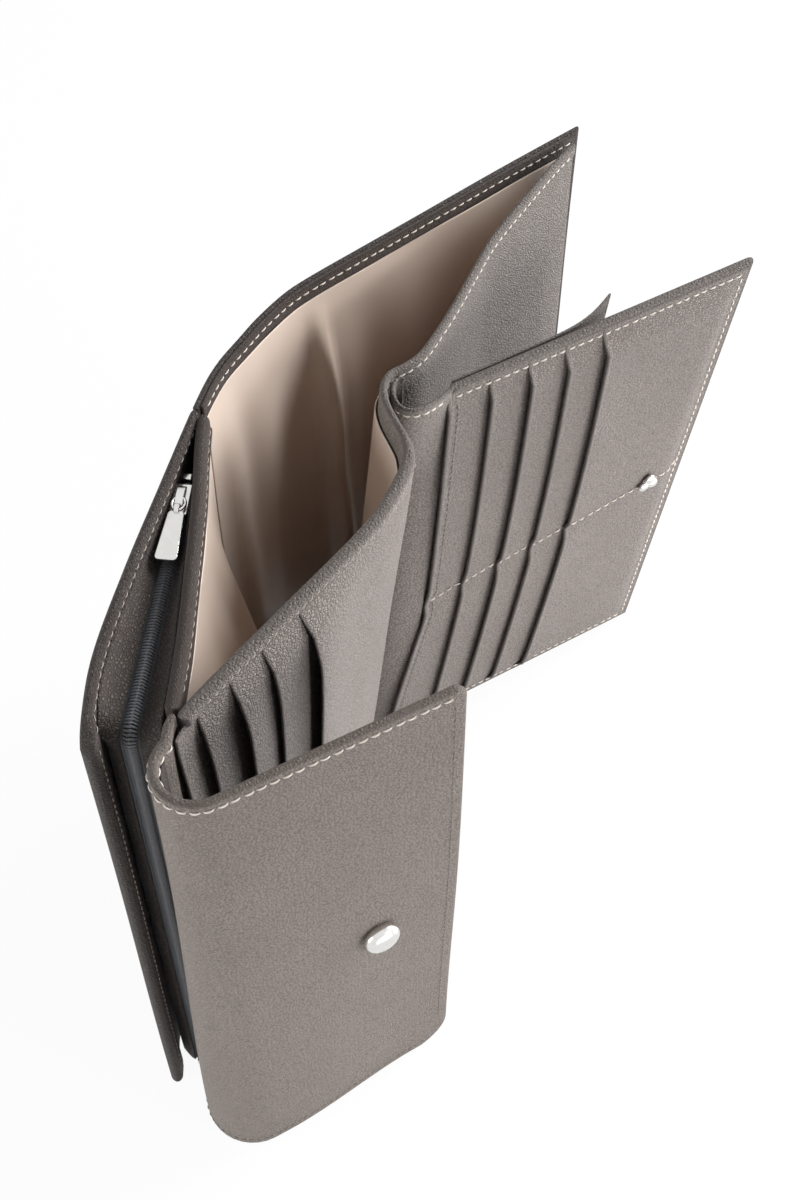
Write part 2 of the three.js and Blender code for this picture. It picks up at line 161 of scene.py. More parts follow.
def linePoints(pairs, step=0.8):  # evenly spaced points along a drawn line
    for (u0, v0), (u1, v1) in zip(pairs, pairs[1:]):
        count = max(1, round(math.hypot(u1 - u0, v1 - v0) / step))
        for k in range(count):
            yield u0 + (u1 - u0) * k / count, v0 + (v1 - v0) * k / count
    yield pairs[-1]


class Sheet:
    def __init__(self, surface, sTicks, zTicks, thick, edge=0.8):
        self.surface, self.sTicks, self.zTicks = surface, sTicks, zTicks
        self.thick, self.edge = thick, edge

    def inside(self, s, z):  # distance to the nearest edge of the sheet
        ends = min(s - self.sTicks[0], self.sTicks[-1] - s)
        return max(min(ends, z - self.zTicks[0], self.zTicks[-1] - z), 0.0)

    def half(self, s, z):
        rest = 1 - min(self.inside(s, z) / self.edge, 1.0)
        thick = self.thick(s, z) if callable(self.thick) else self.thick
        return thick / 2 * max(math.sqrt(1 - rest * rest), 0.25) * mm

    def normal(self, s, z):
        step = 0.4
        sLow, sHigh = max(s - step, self.sTicks[0]), min(s + step, self.sTicks[-1])
        zLow, zHigh = max(z - step, self.zTicks[0]), min(z + step, self.zTicks[-1])
        along = self.surface(sHigh, z) - self.surface(sLow, z)
        upward = self.surface(s, zHigh) - self.surface(s, zLow)
        return along.cross(upward).normalized()

    def face(self, s, z, side=1):
        return self.surface(s, z) + self.normal(s, z) * self.half(s, z) * side

    def run(self, pairs, side=1):  # points and normals along a line drawn on one face
        return [(self.face(s, z, side), self.normal(s, z) * side) for s, z in linePoints(pairs)]

    def build(self):
        made = bmesh.new()
        uv, edgeDyeShadeMark = made.loops.layers.uv.new("UVMap"), made.verts.layers.float.new("rim")
        across, up = len(self.sTicks), len(self.zTicks)
        grid, spot = {}, {}
        for i, s in enumerate(self.sTicks):
            for j, z in enumerate(self.zTicks):
                middle, out = self.surface(s, z), self.normal(s, z) * self.half(s, z)
                for side in (1, -1):
                    grid[side, i, j] = made.verts.new(middle + out * side)
                    # edge mark: 1 at a sheet's cut edges; the leather darkens there for its edge dye and as
                    # painted shade on top edges and slits
                    grid[side, i, j][edgeDyeShadeMark] = 1 - ease((self.inside(s, z) - 0.3) / 0.8)
                    spot[grid[side, i, j]] = (s * mm, z * mm)
        for i in range(across - 1):
            for j in range(up - 1):
                ring = [(i, j), (i + 1, j), (i + 1, j + 1), (i, j + 1)]
                made.faces.new([grid[1, a, b] for a, b in ring])
                made.faces.new([grid[-1, a, b] for a, b in reversed(ring)])
        rim = ([(i, 0) for i in range(across)] + [(across - 1, j) for j in range(1, up)]
               + [(i, up - 1) for i in range(across - 2, -1, -1)] + [(0, j) for j in range(up - 2, 0, -1)])
        for a, b in zip(rim, rim[1:] + rim[:1]):
            made.faces.new([grid[1, *a], grid[-1, *a], grid[-1, *b], grid[1, *b]])
        for face in made.faces:
            face.smooth = True
            for loop in face.loops:
                loop[uv].uv = spot[loop.vert]
        return made


def keep(made, name, material, replaces=(), body=None, blend=None):
    mesh = bpy.data.meshes.new(name)
    made.to_mesh(mesh)
    made.free()
    mesh.materials.append(material)
    piece = bpy.data.objects.new(name, mesh)
    bpy.context.scene.collection.objects.link(piece)
    if replaces:
        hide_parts(*replaces)
    if blend:
        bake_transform(piece)
    else:
        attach(piece, body)
    return piece


def roundRing(made, centre, across, up):
    return [made.verts.new(centre + across * math.cos(a) + up * math.sin(a))
            for a in (m * math.pi / 4 for m in range(8))]


def skinRings(made, rings):  # a tube over rings of corners, capped at both ends
    count = len(rings[0])
    for low, high in zip(rings, rings[1:]):
        for m in range(count):
            made.faces.new([low[m], low[(m + 1) % count], high[(m + 1) % count], high[m]])
    made.faces.new(list(reversed(rings[0])))
    made.faces.new(rings[-1])


def smoothOut(made):
    bmesh.ops.recalc_face_normals(made, faces=made.faces)
    for face in made.faces:
        face.smooth = True


def addStitches(made, run, pitch=2.8, length=2.0, width=0.5, height=0.24):
    marks = [0.0]
    for (a, _), (b, _) in zip(run, run[1:]):
        marks.append(marks[-1] + (b - a).length / mm)

    def onRun(distance):
        k = min(max(bisect_right(marks, distance) - 1, 0), len(run) - 2)
        share = (distance - marks[k]) / max(marks[k + 1] - marks[k], 1e-6)
        return run[k][0].lerp(run[k + 1][0], share), run[k][1].lerp(run[k + 1][1], share).normalized()

    count = int(marks[-1] / pitch)
    lead = (marks[-1] - count * pitch) / 2
    for n in range(count):
        begin = lead + n * pitch + (pitch - length) / 2 + 0.12 * math.sin(n * 2.7)
        rings = []
        for k in range(6):
            t = k / 5
            point, out = onRun(begin + length * t)
            ahead, _ = onRun(begin + length * t + 0.1)
            side = out.cross(ahead - point).normalized()
            rise = (height * math.sin(math.pi * t) ** 0.45 - 0.1) * mm
            half = width / 2 * (0.7 + 0.3 * math.sin(math.pi * t)) * mm
            rings.append(roundRing(made, point + out * rise, side * half, out * half * 0.7))
        skinRings(made, rings)


def stitchPiece(name, runs, body=None, blend=None, slot="inner_leather", material=None, **settings):
    made = bmesh.new()
    for run in runs:
        addStitches(made, run, **settings)
    smoothOut(made)
    return keep(made, name, material or threadPale, body=body, blend=blend)


# materials


def setInputs(node, values):
    for key, value in values.items():
        node.inputs[key].default_value = value


def addNode(tree, kind, inputs=None, **settings):
    node = tree.nodes.new(kind)
    for key, value in settings.items():
        setattr(node, key, value)
    setInputs(node, inputs or {})
    return node


def wire(tree, *links):  # each link: a node, its output, a node, its input
    for source, output, target, socket in links:
        tree.links.new(source.outputs[output], target.inputs[socket])


def newGroup(name, number, outputs):  # takes a place and a number, gives values
    group = bpy.data.node_groups.new(name, "ShaderNodeTree")
    group.interface.new_socket("Vector", in_out="INPUT", socket_type="NodeSocketVector")
    group.interface.new_socket(number, in_out="INPUT", socket_type="NodeSocketFloat")
    for key in outputs:
        group.interface.new_socket(key, in_out="OUTPUT", socket_type="NodeSocketFloat")
    return group, addNode(group, "NodeGroupInput"), addNode(group, "NodeGroupOutput")


def makeHideGrain():
    group, start, end = newGroup("hideGrain", "Cells", ("Height", "Crease", "Tone"))
    warp = addNode(group, "ShaderNodeTexNoise", {"Scale": 520.0, "Detail": 2.0})
    shifted = addNode(group, "ShaderNodeVectorMath", {1: (0.0007, 0.0007, 0.0007)}, operation="MULTIPLY_ADD")
    flat = addNode(group, "ShaderNodeVectorMath", {1: (1.0, 1.0, 2.1)}, operation="MULTIPLY")
    cells = addNode(group, "ShaderNodeTexVoronoi", feature="DISTANCE_TO_EDGE")
    dome = addNode(group, "ShaderNodeMapRange", {1: 0.0, 2: 0.36}, interpolation_type="SMOOTHSTEP")
    fine = addNode(group, "ShaderNodeTexNoise", {"Scale": 900.0, "Detail": 3.0})
    height = addNode(group, "ShaderNodeMath", {1: 0.7}, operation="MULTIPLY_ADD")
    crease = addNode(group, "ShaderNodeMapRange", {1: 0.0, 2: 0.24, 3: 1.0, 4: 0.0},
                     interpolation_type="SMOOTHSTEP")
    cloud = addNode(group, "ShaderNodeTexNoise", {"Scale": 42.0, "Detail": 3.0, "Roughness": 0.6})
    tone = addNode(group, "ShaderNodeMapRange", {1: 0.32, 2: 0.68}, interpolation_type="SMOOTHSTEP")
    wire(group, (start, "Vector", warp, "Vector"), (warp, "Color", shifted, 0), (start, "Vector", shifted, 2),
         (shifted, 0, flat, 0), (flat, 0, cells, "Vector"), (start, "Cells", cells, "Scale"),
         (cells, "Distance", dome, 0), (start, "Vector", fine, "Vector"), (fine, "Fac", height, 0),
         (dome, 0, height, 2), (cells, "Distance", crease, 0), (start, "Vector", cloud, "Vector"),
         (cloud, "Fac", tone, 0), (height, 0, end, "Height"), (crease, 0, end, "Crease"),
         (tone, 0, end, "Tone"))
    return group


def makeWeave():
    group, start, end = newGroup("clothWeave", "Threads", ("Height", "Tone"))
    warp = addNode(group, "ShaderNodeTexWave", {"Distortion": 0.6}, bands_direction="X")
    weft = addNode(group, "ShaderNodeTexWave", {"Distortion": 0.6}, bands_direction="Y")
    both = addNode(group, "ShaderNodeMath", operation="MULTIPLY")
    cloud = addNode(group, "ShaderNodeTexNoise", {"Scale": 30.0, "Detail": 3.0})
    wire(group, (start, "Vector", warp, "Vector"), (start, "Vector", weft, "Vector"),
         (start, "Threads", warp, "Scale"), (start, "Threads", weft, "Scale"), (warp, "Fac", both, 0),
         (weft, "Fac", both, 1), (start, "Vector", cloud, "Vector"), (both, 0, end, "Height"),
         (cloud, "Fac", end, "Tone"))
    return group


hideGrain = makeHideGrain()
clothWeave = makeWeave()


def newMaterial(name, inputs):
    material = bpy.data.materials.new(name)
    material.use_nodes = True
    shader = material.node_tree.nodes["Principled BSDF"]
    setInputs(shader, inputs)
    return material, material.node_tree, shader


def blendColours(tree, factor, first, second):
    mix = addNode(tree, "ShaderNodeMix", data_type="RGBA", blend_type="MIX")
    tree.links.new(factor, mix.inputs["Factor"])
    for socket, colour in ((mix.inputs[6], first), (mix.inputs[7], second)):
        if isinstance(colour, tuple):
            socket.default_value = (*colour, 1.0)
        else:
            tree.links.new(colour, socket)
    return mix.outputs[2]


def addGloss(tree, shader, source, output, rough, low=0.0, high=1.0):
    gloss = addNode(tree, "ShaderNodeMapRange", {1: low, 2: high, 3: rough[0], 4: rough[1]})
    wire(tree, (source, output, gloss, 0), (gloss, 0, shader, "Roughness"))


def addBump(tree, shader, source, output, strength, distance=0.0001):
    bump = addNode(tree, "ShaderNodeBump", {"Strength": strength, "Distance": distance})
    wire(tree, (source, output, bump, "Height"), (bump, "Normal", shader, "Normal"))


# the darkening factor scales the hide's colour down for painted shade in the grain's creases and on the cut
# edges, which are also dyed
hideSettings = {"rough": (0.46, 0.65), "depth": 0.0003, "shadeAndDye": 0.5,
                "shader": {"Specular IOR Level": 0.2, "Sheen Weight": 0.04, "Sheen Roughness": 0.4,
                           "Sheen Tint": (0.82, 0.88, 1.0, 1.0)}}


def makeLeather(name, deep, pale, cells=1300.0, grain=0.8):
    material, tree, shader = newMaterial(name, hideSettings["shader"])
    spot = addNode(tree, "ShaderNodeTexCoord")
    hide = addNode(tree, "ShaderNodeGroup", {"Cells": cells}, node_tree=hideGrain)
    rim = addNode(tree, "ShaderNodeAttribute", attribute_name="rim")
    wire(tree, (spot, "Object", hide, "Vector"))
    # this darker colour is painted shade in the creases and on edges, and the dye of the cut edges
    shadeAndDyeColour = tuple(c * hideSettings["shadeAndDye"] for c in deep)
    tone = blendColours(tree, hide.outputs["Tone"], deep, pale)
    # painted shade: the grain's creases are darkened in colour to stand in for the shade in them
    creaseShaded = blendColours(tree, hide.outputs["Crease"], tone, shadeAndDyeColour)
    dyedAndShadedEdges = blendColours(tree, rim.outputs["Fac"], creaseShaded, shadeAndDyeColour)  # dyed cut edges, also darkened as painted shade on unlit top edges and in the pocket slits
    tree.links.new(dyedAndShadedEdges, shader.inputs["Base Color"])
    addGloss(tree, shader, hide, "Crease", hideSettings["rough"])
    addBump(tree, shader, hide, "Height", grain, hideSettings["depth"])
    return material


def makeCloth(name, deep, pale, threads, rough, bumpStrength, sheen):
    material, tree, shader = newMaterial(name, {"Roughness": rough, "Sheen Weight": sheen})
    spot = addNode(tree, "ShaderNodeTexCoord")
    weave = addNode(tree, "ShaderNodeGroup", {"Threads": threads}, node_tree=clothWeave)
    wire(tree, (spot, "UV", weave, "Vector"))
    tree.links.new(blendColours(tree, weave.outputs["Tone"], deep, pale), shader.inputs["Base Color"])
    addBump(tree, shader, weave, "Height", bumpStrength)
    return material


def speckled(tree, shader, scale, detail, first, second):  # two colours mixed by a fine noise
    spot = addNode(tree, "ShaderNodeTexCoord")
    noise = addNode(tree, "ShaderNodeTexNoise", {"Scale": scale, "Detail": detail})
    wire(tree, (spot, "Object", noise, "Vector"))
    tree.links.new(blendColours(tree, noise.outputs["Fac"], first, second), shader.inputs["Base Color"])
    return noise


def makeMetal(name, colour, dull, rough):
    material, tree, shader = newMaterial(name, {"Metallic": 1.0})
    smudge = speckled(tree, shader, 260.0, 4.0, colour, dull)
    addGloss(tree, shader, smudge, "Fac", rough, 0.3, 0.7)
    return material


def makeThread(name, deep, pale):
    material, tree, shader = newMaterial(name, {"Roughness": 0.75})
    fuzz = speckled(tree, shader, 2600.0, 3.0, deep, pale)
    addBump(tree, shader, fuzz, "Fac", 0.4)
    return material


flapHide = makeLeather("flapHide", (0.250, 0.211, 0.186), (0.274, 0.233, 0.206), cells=1050.0, grain=0.7)
leafHide = makeLeather("leafHide", (0.264, 0.230, 0.210), (0.288, 0.253, 0.232), cells=950.0)
# painted shade: these two are darker copies of the flap's leather, dark for the unlit upward faces of the zip
# walls and gussets; the cover and spine share the first
shadedPanelHide = makeLeather("shadedPanelHide", (0.090, 0.073, 0.065), (0.110, 0.091, 0.081), cells=950.0)
shadedGussetHide = makeLeather("shadedGussetHide", (0.096, 0.079, 0.071), (0.118, 0.098, 0.089), cells=950.0)
facingHide = makeLeather("facingHide", (0.092, 0.073, 0.064), (0.114, 0.091, 0.080), grain=0.5)
satin = makeCloth("satin", (0.66, 0.53, 0.44), (0.76, 0.64, 0.55), 900.0, 0.33, 0.12, 0.2)
tapeCloth = makeCloth("tapeCloth", (0.060, 0.062, 0.070), (0.105, 0.108, 0.118), 500.0, 0.7, 0.5, 0.1)
coilNylon = makeThread("coilNylon", (0.25, 0.26, 0.28), (0.38, 0.39, 0.42))
nickel = makeMetal("nickel", (0.80, 0.79, 0.77), (0.66, 0.65, 0.63), (0.14, 0.3))
threadPale = makeThread("threadPale", (0.60, 0.54, 0.48), (0.79, 0.73, 0.66))
threadWarm = makeThread("threadWarm", (0.27, 0.23, 0.20), (0.42, 0.365, 0.32))
threadDark = makeThread("threadDark", (0.13, 0.112, 0.10), (0.22, 0.19, 0.17))
print("materials made")

# cover and spine: one leather wrapped round the back, facing and lining inside

coverSettings = {"leather": 1.7, "facing": 0.9, "facingFoot": 184.2, "lining": 0.5, "stitch": 2.5, "clear": 7}
coverPath = PlanPath([(-43.2, -30.8), (-44.9, -21), (-45.4, -13), (-44.8, -4), (-44.2, 4.4), (-42.4, 15.4),
                      (-39.6, 24), (-32.7, 40.7), (-24.2, 60.3), (-0.5, 114.3)])
coverBlend = ("spine", "cover", place(-43, 6, 95), place(-39.5, 26, 95))
coverLong = coverPath.length


def coverSwell(s, z):  # slow unevenness of the padded leather
    return 0.22 * math.sin(s / 14 + z / 37) * math.sin(z / 24 + 0.6)


coverLeather = Sheet(wallSurface(coverPath, lambda s, z: -0.85 + coverSwell(s, z)), ticks(0, coverLong, 2.2),
                     ticks(0, walletHeight, 6), coverSettings["leather"], 0.8)
keep(coverLeather.build(), "coverLeather", shadedPanelHide, ("spine_panel", "cover_panel"),
     blend=coverBlend)

facingTop = walletHeight - 0.15
coverFacing = Sheet(wallSurface(coverPath, lambda s, z: -2.1 + coverSwell(s, z)),
                    ticks(1.2, coverLong - 1.6, 2.2), ticks(coverSettings["facingFoot"], facingTop, 1.4),
                    coverSettings["facing"], 0.4)
keep(coverFacing.build(), "coverFacing", facingHide, ("spine_facing", "cover_facing"),
     blend=coverBlend)

liningFolds = [(12, 6, 2.4, 0.05), (31, 9, 2.2, -0.04), (55, 2.4, 5.2, 0.05), (61, 9, 2.6, 0.03),
               (82, 11, 1.8, 0.06), (118, 12, 1.4, 0.02)]


def foldPush(folds, s, drop):  # height of slanting folds in a hung cloth
    return sum(rise * hump(s - at - slant * drop, wide) for at, wide, rise, slant in folds)


def coverDrape(s, z):
    drop = coverSettings["facingFoot"] - z
    slack = 0.4 * ease(drop / 8) + foldPush(liningFolds, s, drop) * ease(drop / 36)
    room = max(roomAt(coverPath.point(s), z) - coverSettings["clear"], 0.0)
    return -2.25 - min(slack, 0.35 * room) - 0.12 * math.sin(z / 9 + s / 6)


coverLining = Sheet(wallSurface(coverPath, coverDrape), ticks(2, coverLong - 8, 2), ticks(3, 184.0, 4),
                    coverSettings["lining"], 0.3)
coverLiningPiece = keep(coverLining.build(), "coverLining", satin,
                        ("spine_lining", "cover_lining"), blend=coverBlend)

topRow = facingTop - coverSettings["stitch"]
stitchPiece("coverStitchesInside", [coverFacing.run([(2.5, topRow), (coverLong - 3, topRow)], 1)],
            blend=coverBlend, slot="cover_leather", pitch=2.9, length=2.1, width=0.46)
outerRow = [(3, 3), (coverLong - 3, 3), (coverLong - 3, walletHeight - 3), (3, walletHeight - 3)]
stitchPiece("coverStitchesOutside", [coverLeather.run(outerRow[k:k + 2], -1) for k in range(3)],
            blend=coverBlend, slot="cover_leather", material=threadWarm, pitch=3.3, length=2.4)
print("cover made")

# zip pocket: outer wall, inner wall, linings

zipSettings = {"outer": 2.0, "topRoll": 0.7, "frontRoll": 1.7, "inner": 1.7, "innerRoll": 1.7,
               "innerFacing": 0.7, "liningTop": 178, "clear": 6, "pouch": 12.5, "stitch": 1.7}
zipWallPath = PlanPath([(-15.5, -126), (-25, -106), (-32, -81), (-38, -54.5), (-42.6, -34), (-43.1, -31.2)])
innerWallPath = PlanPath([(-2.4, -109.5), (-9.4, -92.7), (-17.7, -75), (-26.8, -56), (-34.2, -42),
                          (-39.4, -31.6)])
innerLong = innerWallPath.length


def zipSwell(s, z):
    return 0.25 * math.sin(s / 13 + 0.8) * math.sin(z / 31 + 0.4)


def zipOuterThick(s, z):  # padded roll along the top and the front edge
    top = zipSettings["topRoll"] * ease((z - 176) / 9)
    front = zipSettings["frontRoll"] * ease((11 - s) / 7)
    return zipSettings["outer"] + max(top, front)


def zipInnerThick(s, z):
    return zipSettings["inner"] + zipSettings["innerRoll"] * ease((z - 182) / 4.5)


def cornerDrop(s, radius):  # how far a rounded corner falls short of the top
    return radius - math.sqrt(max(radius ** 2 - max(radius - s, 0.0) ** 2, 0.0))


def zipOuterSurface(s, z):
    fall = 1 - cornerDrop(s, 6.0) / walletHeight
    return wallSurface(zipWallPath, -zipOuterThick(s, z) / 2 + zipSwell(s, z))(s, z * fall)


rollRows = [176, 178, 180, 182, 183.5, 185, 186.5, 188]
zipOuter = Sheet(zipOuterSurface, ticks(0, zipWallPath.length, 2, [0.5, 1.5, 3, 4]),
                 ticks(0, walletHeight, 6, rollRows), zipOuterThick, 1.7)
keep(zipOuter.build(), "zipOuterWall", shadedPanelHide, ("zip_outer_wall",), body="zip_panel")
zipInner = Sheet(wallSurface(innerWallPath, lambda s, z: 1.6 - zipInnerThick(s, z) / 2),
                 ticks(0, innerLong, 2), ticks(0, walletHeight, 6, rollRows), zipInnerThick, 1.6)
keep(zipInner.build(), "zipInnerWall", facingHide, ("zip_inner_wall",), body="zip_panel")
innerFacing = Sheet(wallSurface(innerWallPath, lambda s, z: -0.75 - 0.9 * ease((z - 181) / 4)),
                    ticks(3, innerLong - 0.5, 2.2), ticks(178.5, 186, 1.2), zipSettings["innerFacing"], 0.35)
keep(innerFacing.build(), "innerWallFacing", facingHide, ("inner_wall_facing",),
     body="zip_panel")

innerFolds = [(14, 6, 1.0, 0.02), (30, 6, 1.6, -0.03), (46, 5, 1.8, 0.05), (62, 7, 2.0, 0.0)]


def innerDrape(s, z):  # slack lining: it hangs away from the wall as a shallow pouch
    drop = zipSettings["liningTop"] - z
    sewn = ease((innerLong - s) / 26) * ease((s - 2) / 20) * ease(z / 60)
    pouch = zipSettings["pouch"] * ease((drop + 8) / 95) * sewn
    slack = foldPush(innerFolds, s, drop) * ease(drop / 40) + pouch
    room = max(roomAt(innerWallPath.point(s), z) - zipSettings["clear"], 0.0)
    return -0.7 - min(slack, 0.4 * room) - 0.1 * math.sin(z / 8 + s / 5)


innerLining = Sheet(wallSurface(innerWallPath, innerDrape), ticks(6, innerLong - 2, 2), ticks(3, 178.2, 4),
                    0.5, 0.3)
innerLiningPiece = keep(innerLining.build(), "innerWallLining", satin, ("inner_wall_lining",),
                        body="zip_panel")


def pocketLining(name, path, offset, node, sLow, sHigh):
    surface = wallSurface(path, lambda s, z: offset + 0.15 * math.sin(s / 5 + z / 21))
    lining = Sheet(surface, ticks(sLow, sHigh, 2.5), ticks(3, 174, 8), 0.4, 0.3)
    piece = keep(lining.build(), name, satin, (node,), body="zip_panel")


pocketLining("zipLiningOuter", zipWallPath, -2.7, "zip_lining_outer", 20, 84)
pocketLining("zipLiningInner", innerWallPath, 2.2, "zip_lining_inner", 5, 66)

wallTop, wallEnd = walletHeight - zipSettings["stitch"], zipWallPath.length
stitchPiece("zipWallStitches", [zipOuter.run([(3, wallTop), (wallEnd - 2, wallTop)], 1),
                                zipOuter.run([(2.4, 4), (2.4, 186)], 1),
                                zipOuter.run([(2.8, 3), (wallEnd - 2, 3)], -1),
                                zipOuter.run([(2.8, 4), (2.8, 186)], -1)],
            body="zip_panel", slot="cover_leather", material=threadWarm, pitch=2.8, length=1.9, width=0.45)
stitchPiece("innerWallStitches", [zipInner.run([(4, 188.2), (innerLong - 2, 188.2)], 1)],
            body="zip_panel", material=threadWarm, pitch=2.9, length=2.0, width=0.45)
print("zip walls made")

# zip: gussets, tapes, coil, stops, slider, pull

zipStart, zipAlong = Vector((-37.8, -40.6)), Vector((0.346, -0.938)).normalized()
zipAcross = Vector((-zipAlong.y, zipAlong.x))
zipLevel, zipFront, zipTurn, zipFirst, zipFoot = 183.2, 80.8, 4.0, 7.5, 1.6
topRun = zipFront - zipTurn - zipFirst
turnRun = zipTurn * math.pi / 2
zipLong = topRun + turnRun + zipLevel - zipTurn - zipFoot


def zipLine(q):  # along, height and outward direction of the zip's middle line
    if q <= topRun:
        return zipFirst + q, zipLevel, 0.0, 1.0
    if q <= topRun + turnRun:
        a = (q - topRun) / zipTurn
        return (zipFront - zipTurn + zipTurn * math.sin(a), zipLevel - zipTurn + zipTurn * math.cos(a),
                math.sin(a), math.cos(a))
    return zipFront, zipLevel - zipTurn - (q - topRun - turnRun), 1.0, 0.0


def zipPoint(q, across, lift=0.0):
    along, z, outAlong, outUp = zipLine(q)
    p = zipStart + zipAlong * (along + lift * outAlong) + zipAcross * across
    return place(p.x, p.y, z + lift * outUp)


def wallTable(path, offset):  # zip-line coordinates of a wall's face
    spots = [path.point(s) + path.left(s) * offset - zipStart
             for s in (path.length * k / 60 for k in range(61))]
    return sorted((p.dot(zipAlong), p.dot(zipAcross)) for p in spots)


def reachAt(table, along):
    for (a0, c0), (a1, c1) in zip(table, table[1:]):
        if a0 <= along <= a1:
            return c0 + (c1 - c0) * (along - a0) / max(a1 - a0, 1e-6)
    return table[0][1] if along < table[0][0] else table[-1][1]


zipSides = {-1: "Outer", 1: "Inner"}
tapeHalf = 2.2
gussetSettings = {-1: {"table": wallTable(zipWallPath, -2.5), "rise": 4.2, "node": "zip_tape_outer",
                       "first": 3.0, "gap": 1.2, "sink": 3.2},
                  1: {"table": wallTable(innerWallPath, 1.9), "rise": 3.4, "node": "zip_tape_inner",
                      "first": 5.0, "gap": 0.0, "sink": 2.8}}
for side, settings in gussetSettings.items():
    def gusset(q, share, side=side, settings=settings):
        along = zipLine(q)[0]
        turned = ease((q - topRun + 4) / 14)
        far = max(abs(reachAt(settings["table"], min(along, 76.0))) - settings["gap"] * turned, 2.6)
        across = tapeHalf + (max(far, tapeHalf + 0.6) - tapeHalf) * share / 10
        lift = (settings["rise"] * (1 - turned) - settings["sink"] * turned) * (share / 10) ** 1.4 - 0.3
        return zipPoint(q, side * across, lift + 0.25 * math.sin(q / 5.3) * share / 10)

    strip = Sheet(gusset, ticks(settings["first"], zipLong, 2), ticks(0, 10, 1), 0.9, 0.45)
    keep(strip.build(), "zipGusset" + zipSides[side], shadedGussetHide, (settings["node"],),
         body="zip_panel")
    tape = Sheet(lambda q, a, side=side: zipPoint(q, side * a, -0.75), ticks(0.5, zipLong, 2),
                 ticks(0.9, 3.4, 0.7), 0.5, 0.25)
    keep(tape.build(), "zipTape" + zipSides[side], tapeCloth, body="zip_panel")

coilSettings = {"pitch": 0.84, "reach": 1.25, "wire": 0.31, "tilt": 0.3, "first": 0.4}
for side, node, phase in ((-1, "zip_coil_outer", 0.55), (1, "zip_coil_inner", 0.45)):
    coil = bmesh.new()
    for n in range(int(zipLong / coilSettings["pitch"])):
        q = coilSettings["first"] + coilSettings["pitch"] * (n + phase)
        if q > zipLong:
            continue
        rings = []
        for k in range(7):
            t = k / 6
            across = side * (-0.35 + (coilSettings["reach"] + 0.75) * t)
            lean = coilSettings["tilt"] * (t - 0.5) * side
            wireHalf = coilSettings["wire"] * max(math.sin(math.pi * (0.08 + 0.84 * t)), 0.2) ** 0.5 * mm
            lift = 0.5 - 0.75 * t * t
            centre = zipPoint(q + lean, across, lift)
            ahead = (zipPoint(q + lean + 0.2, across, lift) - centre).normalized()
            out = (zipPoint(q + lean, across, lift + 0.2) - centre).normalized()
            rings.append(roundRing(coil, centre, ahead * wireHalf, out * wireHalf))
        skinRings(coil, rings)
    smoothOut(coil)
    keep(coil, "zipCoil" + zipSides[side], coilNylon, (node,), body="zip_panel")


def zipFrame(along, z):  # metre frame on the zip: x along it, y across, z up
    p = zipStart + zipAlong * along
    axes = Matrix(((zipAlong.x, zipAcross.x, 0), (zipAlong.y, zipAcross.y, 0), (0, 0, 1))).to_4x4()
    return Matrix.Translation(place(p.x, p.y, z)) @ axes @ Matrix.Scale(mm, 4)


def softBevel(made, edges, width, segments=3):
    bmesh.ops.bevel(made, geom=edges, offset=width, offset_type="OFFSET", affect="EDGES", segments=segments,
                    profile=0.5, material=-1)


def bevelledBlock(made, size, centre, width):
    block = Matrix.Translation(centre) @ Matrix.Diagonal((*size, 1.0))
    shaped = bmesh.ops.create_cube(made, size=1.0, matrix=block)
    softBevel(made, list({edge for vert in shaped["verts"] for edge in vert.link_edges}), width)


def keepNickel(made, name, body, *nodes):
    return keep(made, name, nickel, nodes, body=body)


def lathe(profile, steps=48):
    made = bmesh.new()
    verts = [made.verts.new((r, 0, h)) for r, h in profile]
    edges = [made.edges.new(pair) for pair in zip(verts, verts[1:])]
    bmesh.ops.spin(made, geom=verts + edges, cent=(0, 0, 0), axis=(0, 0, 1), dvec=(0, 0, 0), angle=math.tau,
                   steps=steps, use_merge=True)
    bmesh.ops.remove_doubles(made, verts=made.verts, dist=0.001)
    bmesh.ops.recalc_face_normals(made, faces=made.faces)
    return made


def shadeByAngle(made, degrees=35):
    for face in made.faces:
        face.smooth = True
    for edge in made.edges:
        edge.smooth = not (edge.is_manifold and edge.calc_face_angle() > math.radians(degrees))


for name, node, along, z, size in (("zipTopStop", "zip_top_stop", 6.2, 183.3, (2.0, 2.6, 2.2)),
                                   ("zipBottomStop", "zip_bottom_stop", 80.8, 2.5, (2.6, 3.0, 2.6))):
    stop = bmesh.new()
    bevelledBlock(stop, size, (0, 0, 0), 0.5)
    stop.transform(zipFrame(along, z))
    shadeByAngle(stop)
    keepNickel(stop, name, "zip_panel", node)

sliderSettings = {"along": 14.5, "plate": (9.6, 4.6, 1.1), "plateLevel": 185.05, "arch": 3.4, "archRise": 2.3,
                  "archFoot": 185.3, "strap": 1.8, "strapThick": 0.75, "pullLevel": 186.7}
slider = bmesh.new()
bevelledBlock(slider, sliderSettings["plate"], (0, 0, sliderSettings["plateLevel"]), 0.45)
archRings = []
strapHalf = sliderSettings["strap"] / 2
for k in range(13):
    a = math.pi * k / 12
    x = -sliderSettings["arch"] * math.cos(a)
    z = sliderSettings["archFoot"] + sliderSettings["archRise"] * math.sin(a) ** 0.7
    low = z - sliderSettings["strapThick"] * math.sin(a) - 0.1
    corners = ((x, -strapHalf, z), (x, strapHalf, z), (x * 0.8, strapHalf, low), (x * 0.8, -strapHalf, low))
    archRings.append([slider.verts.new(corner) for corner in corners])
skinRings(slider, archRings)
bmesh.ops.recalc_face_normals(slider, faces=slider.faces)
slider.transform(zipFrame(sliderSettings["along"], 0))
shadeByAngle(slider)
keepNickel(slider, "zipSlider", "slider", "zip_slider")

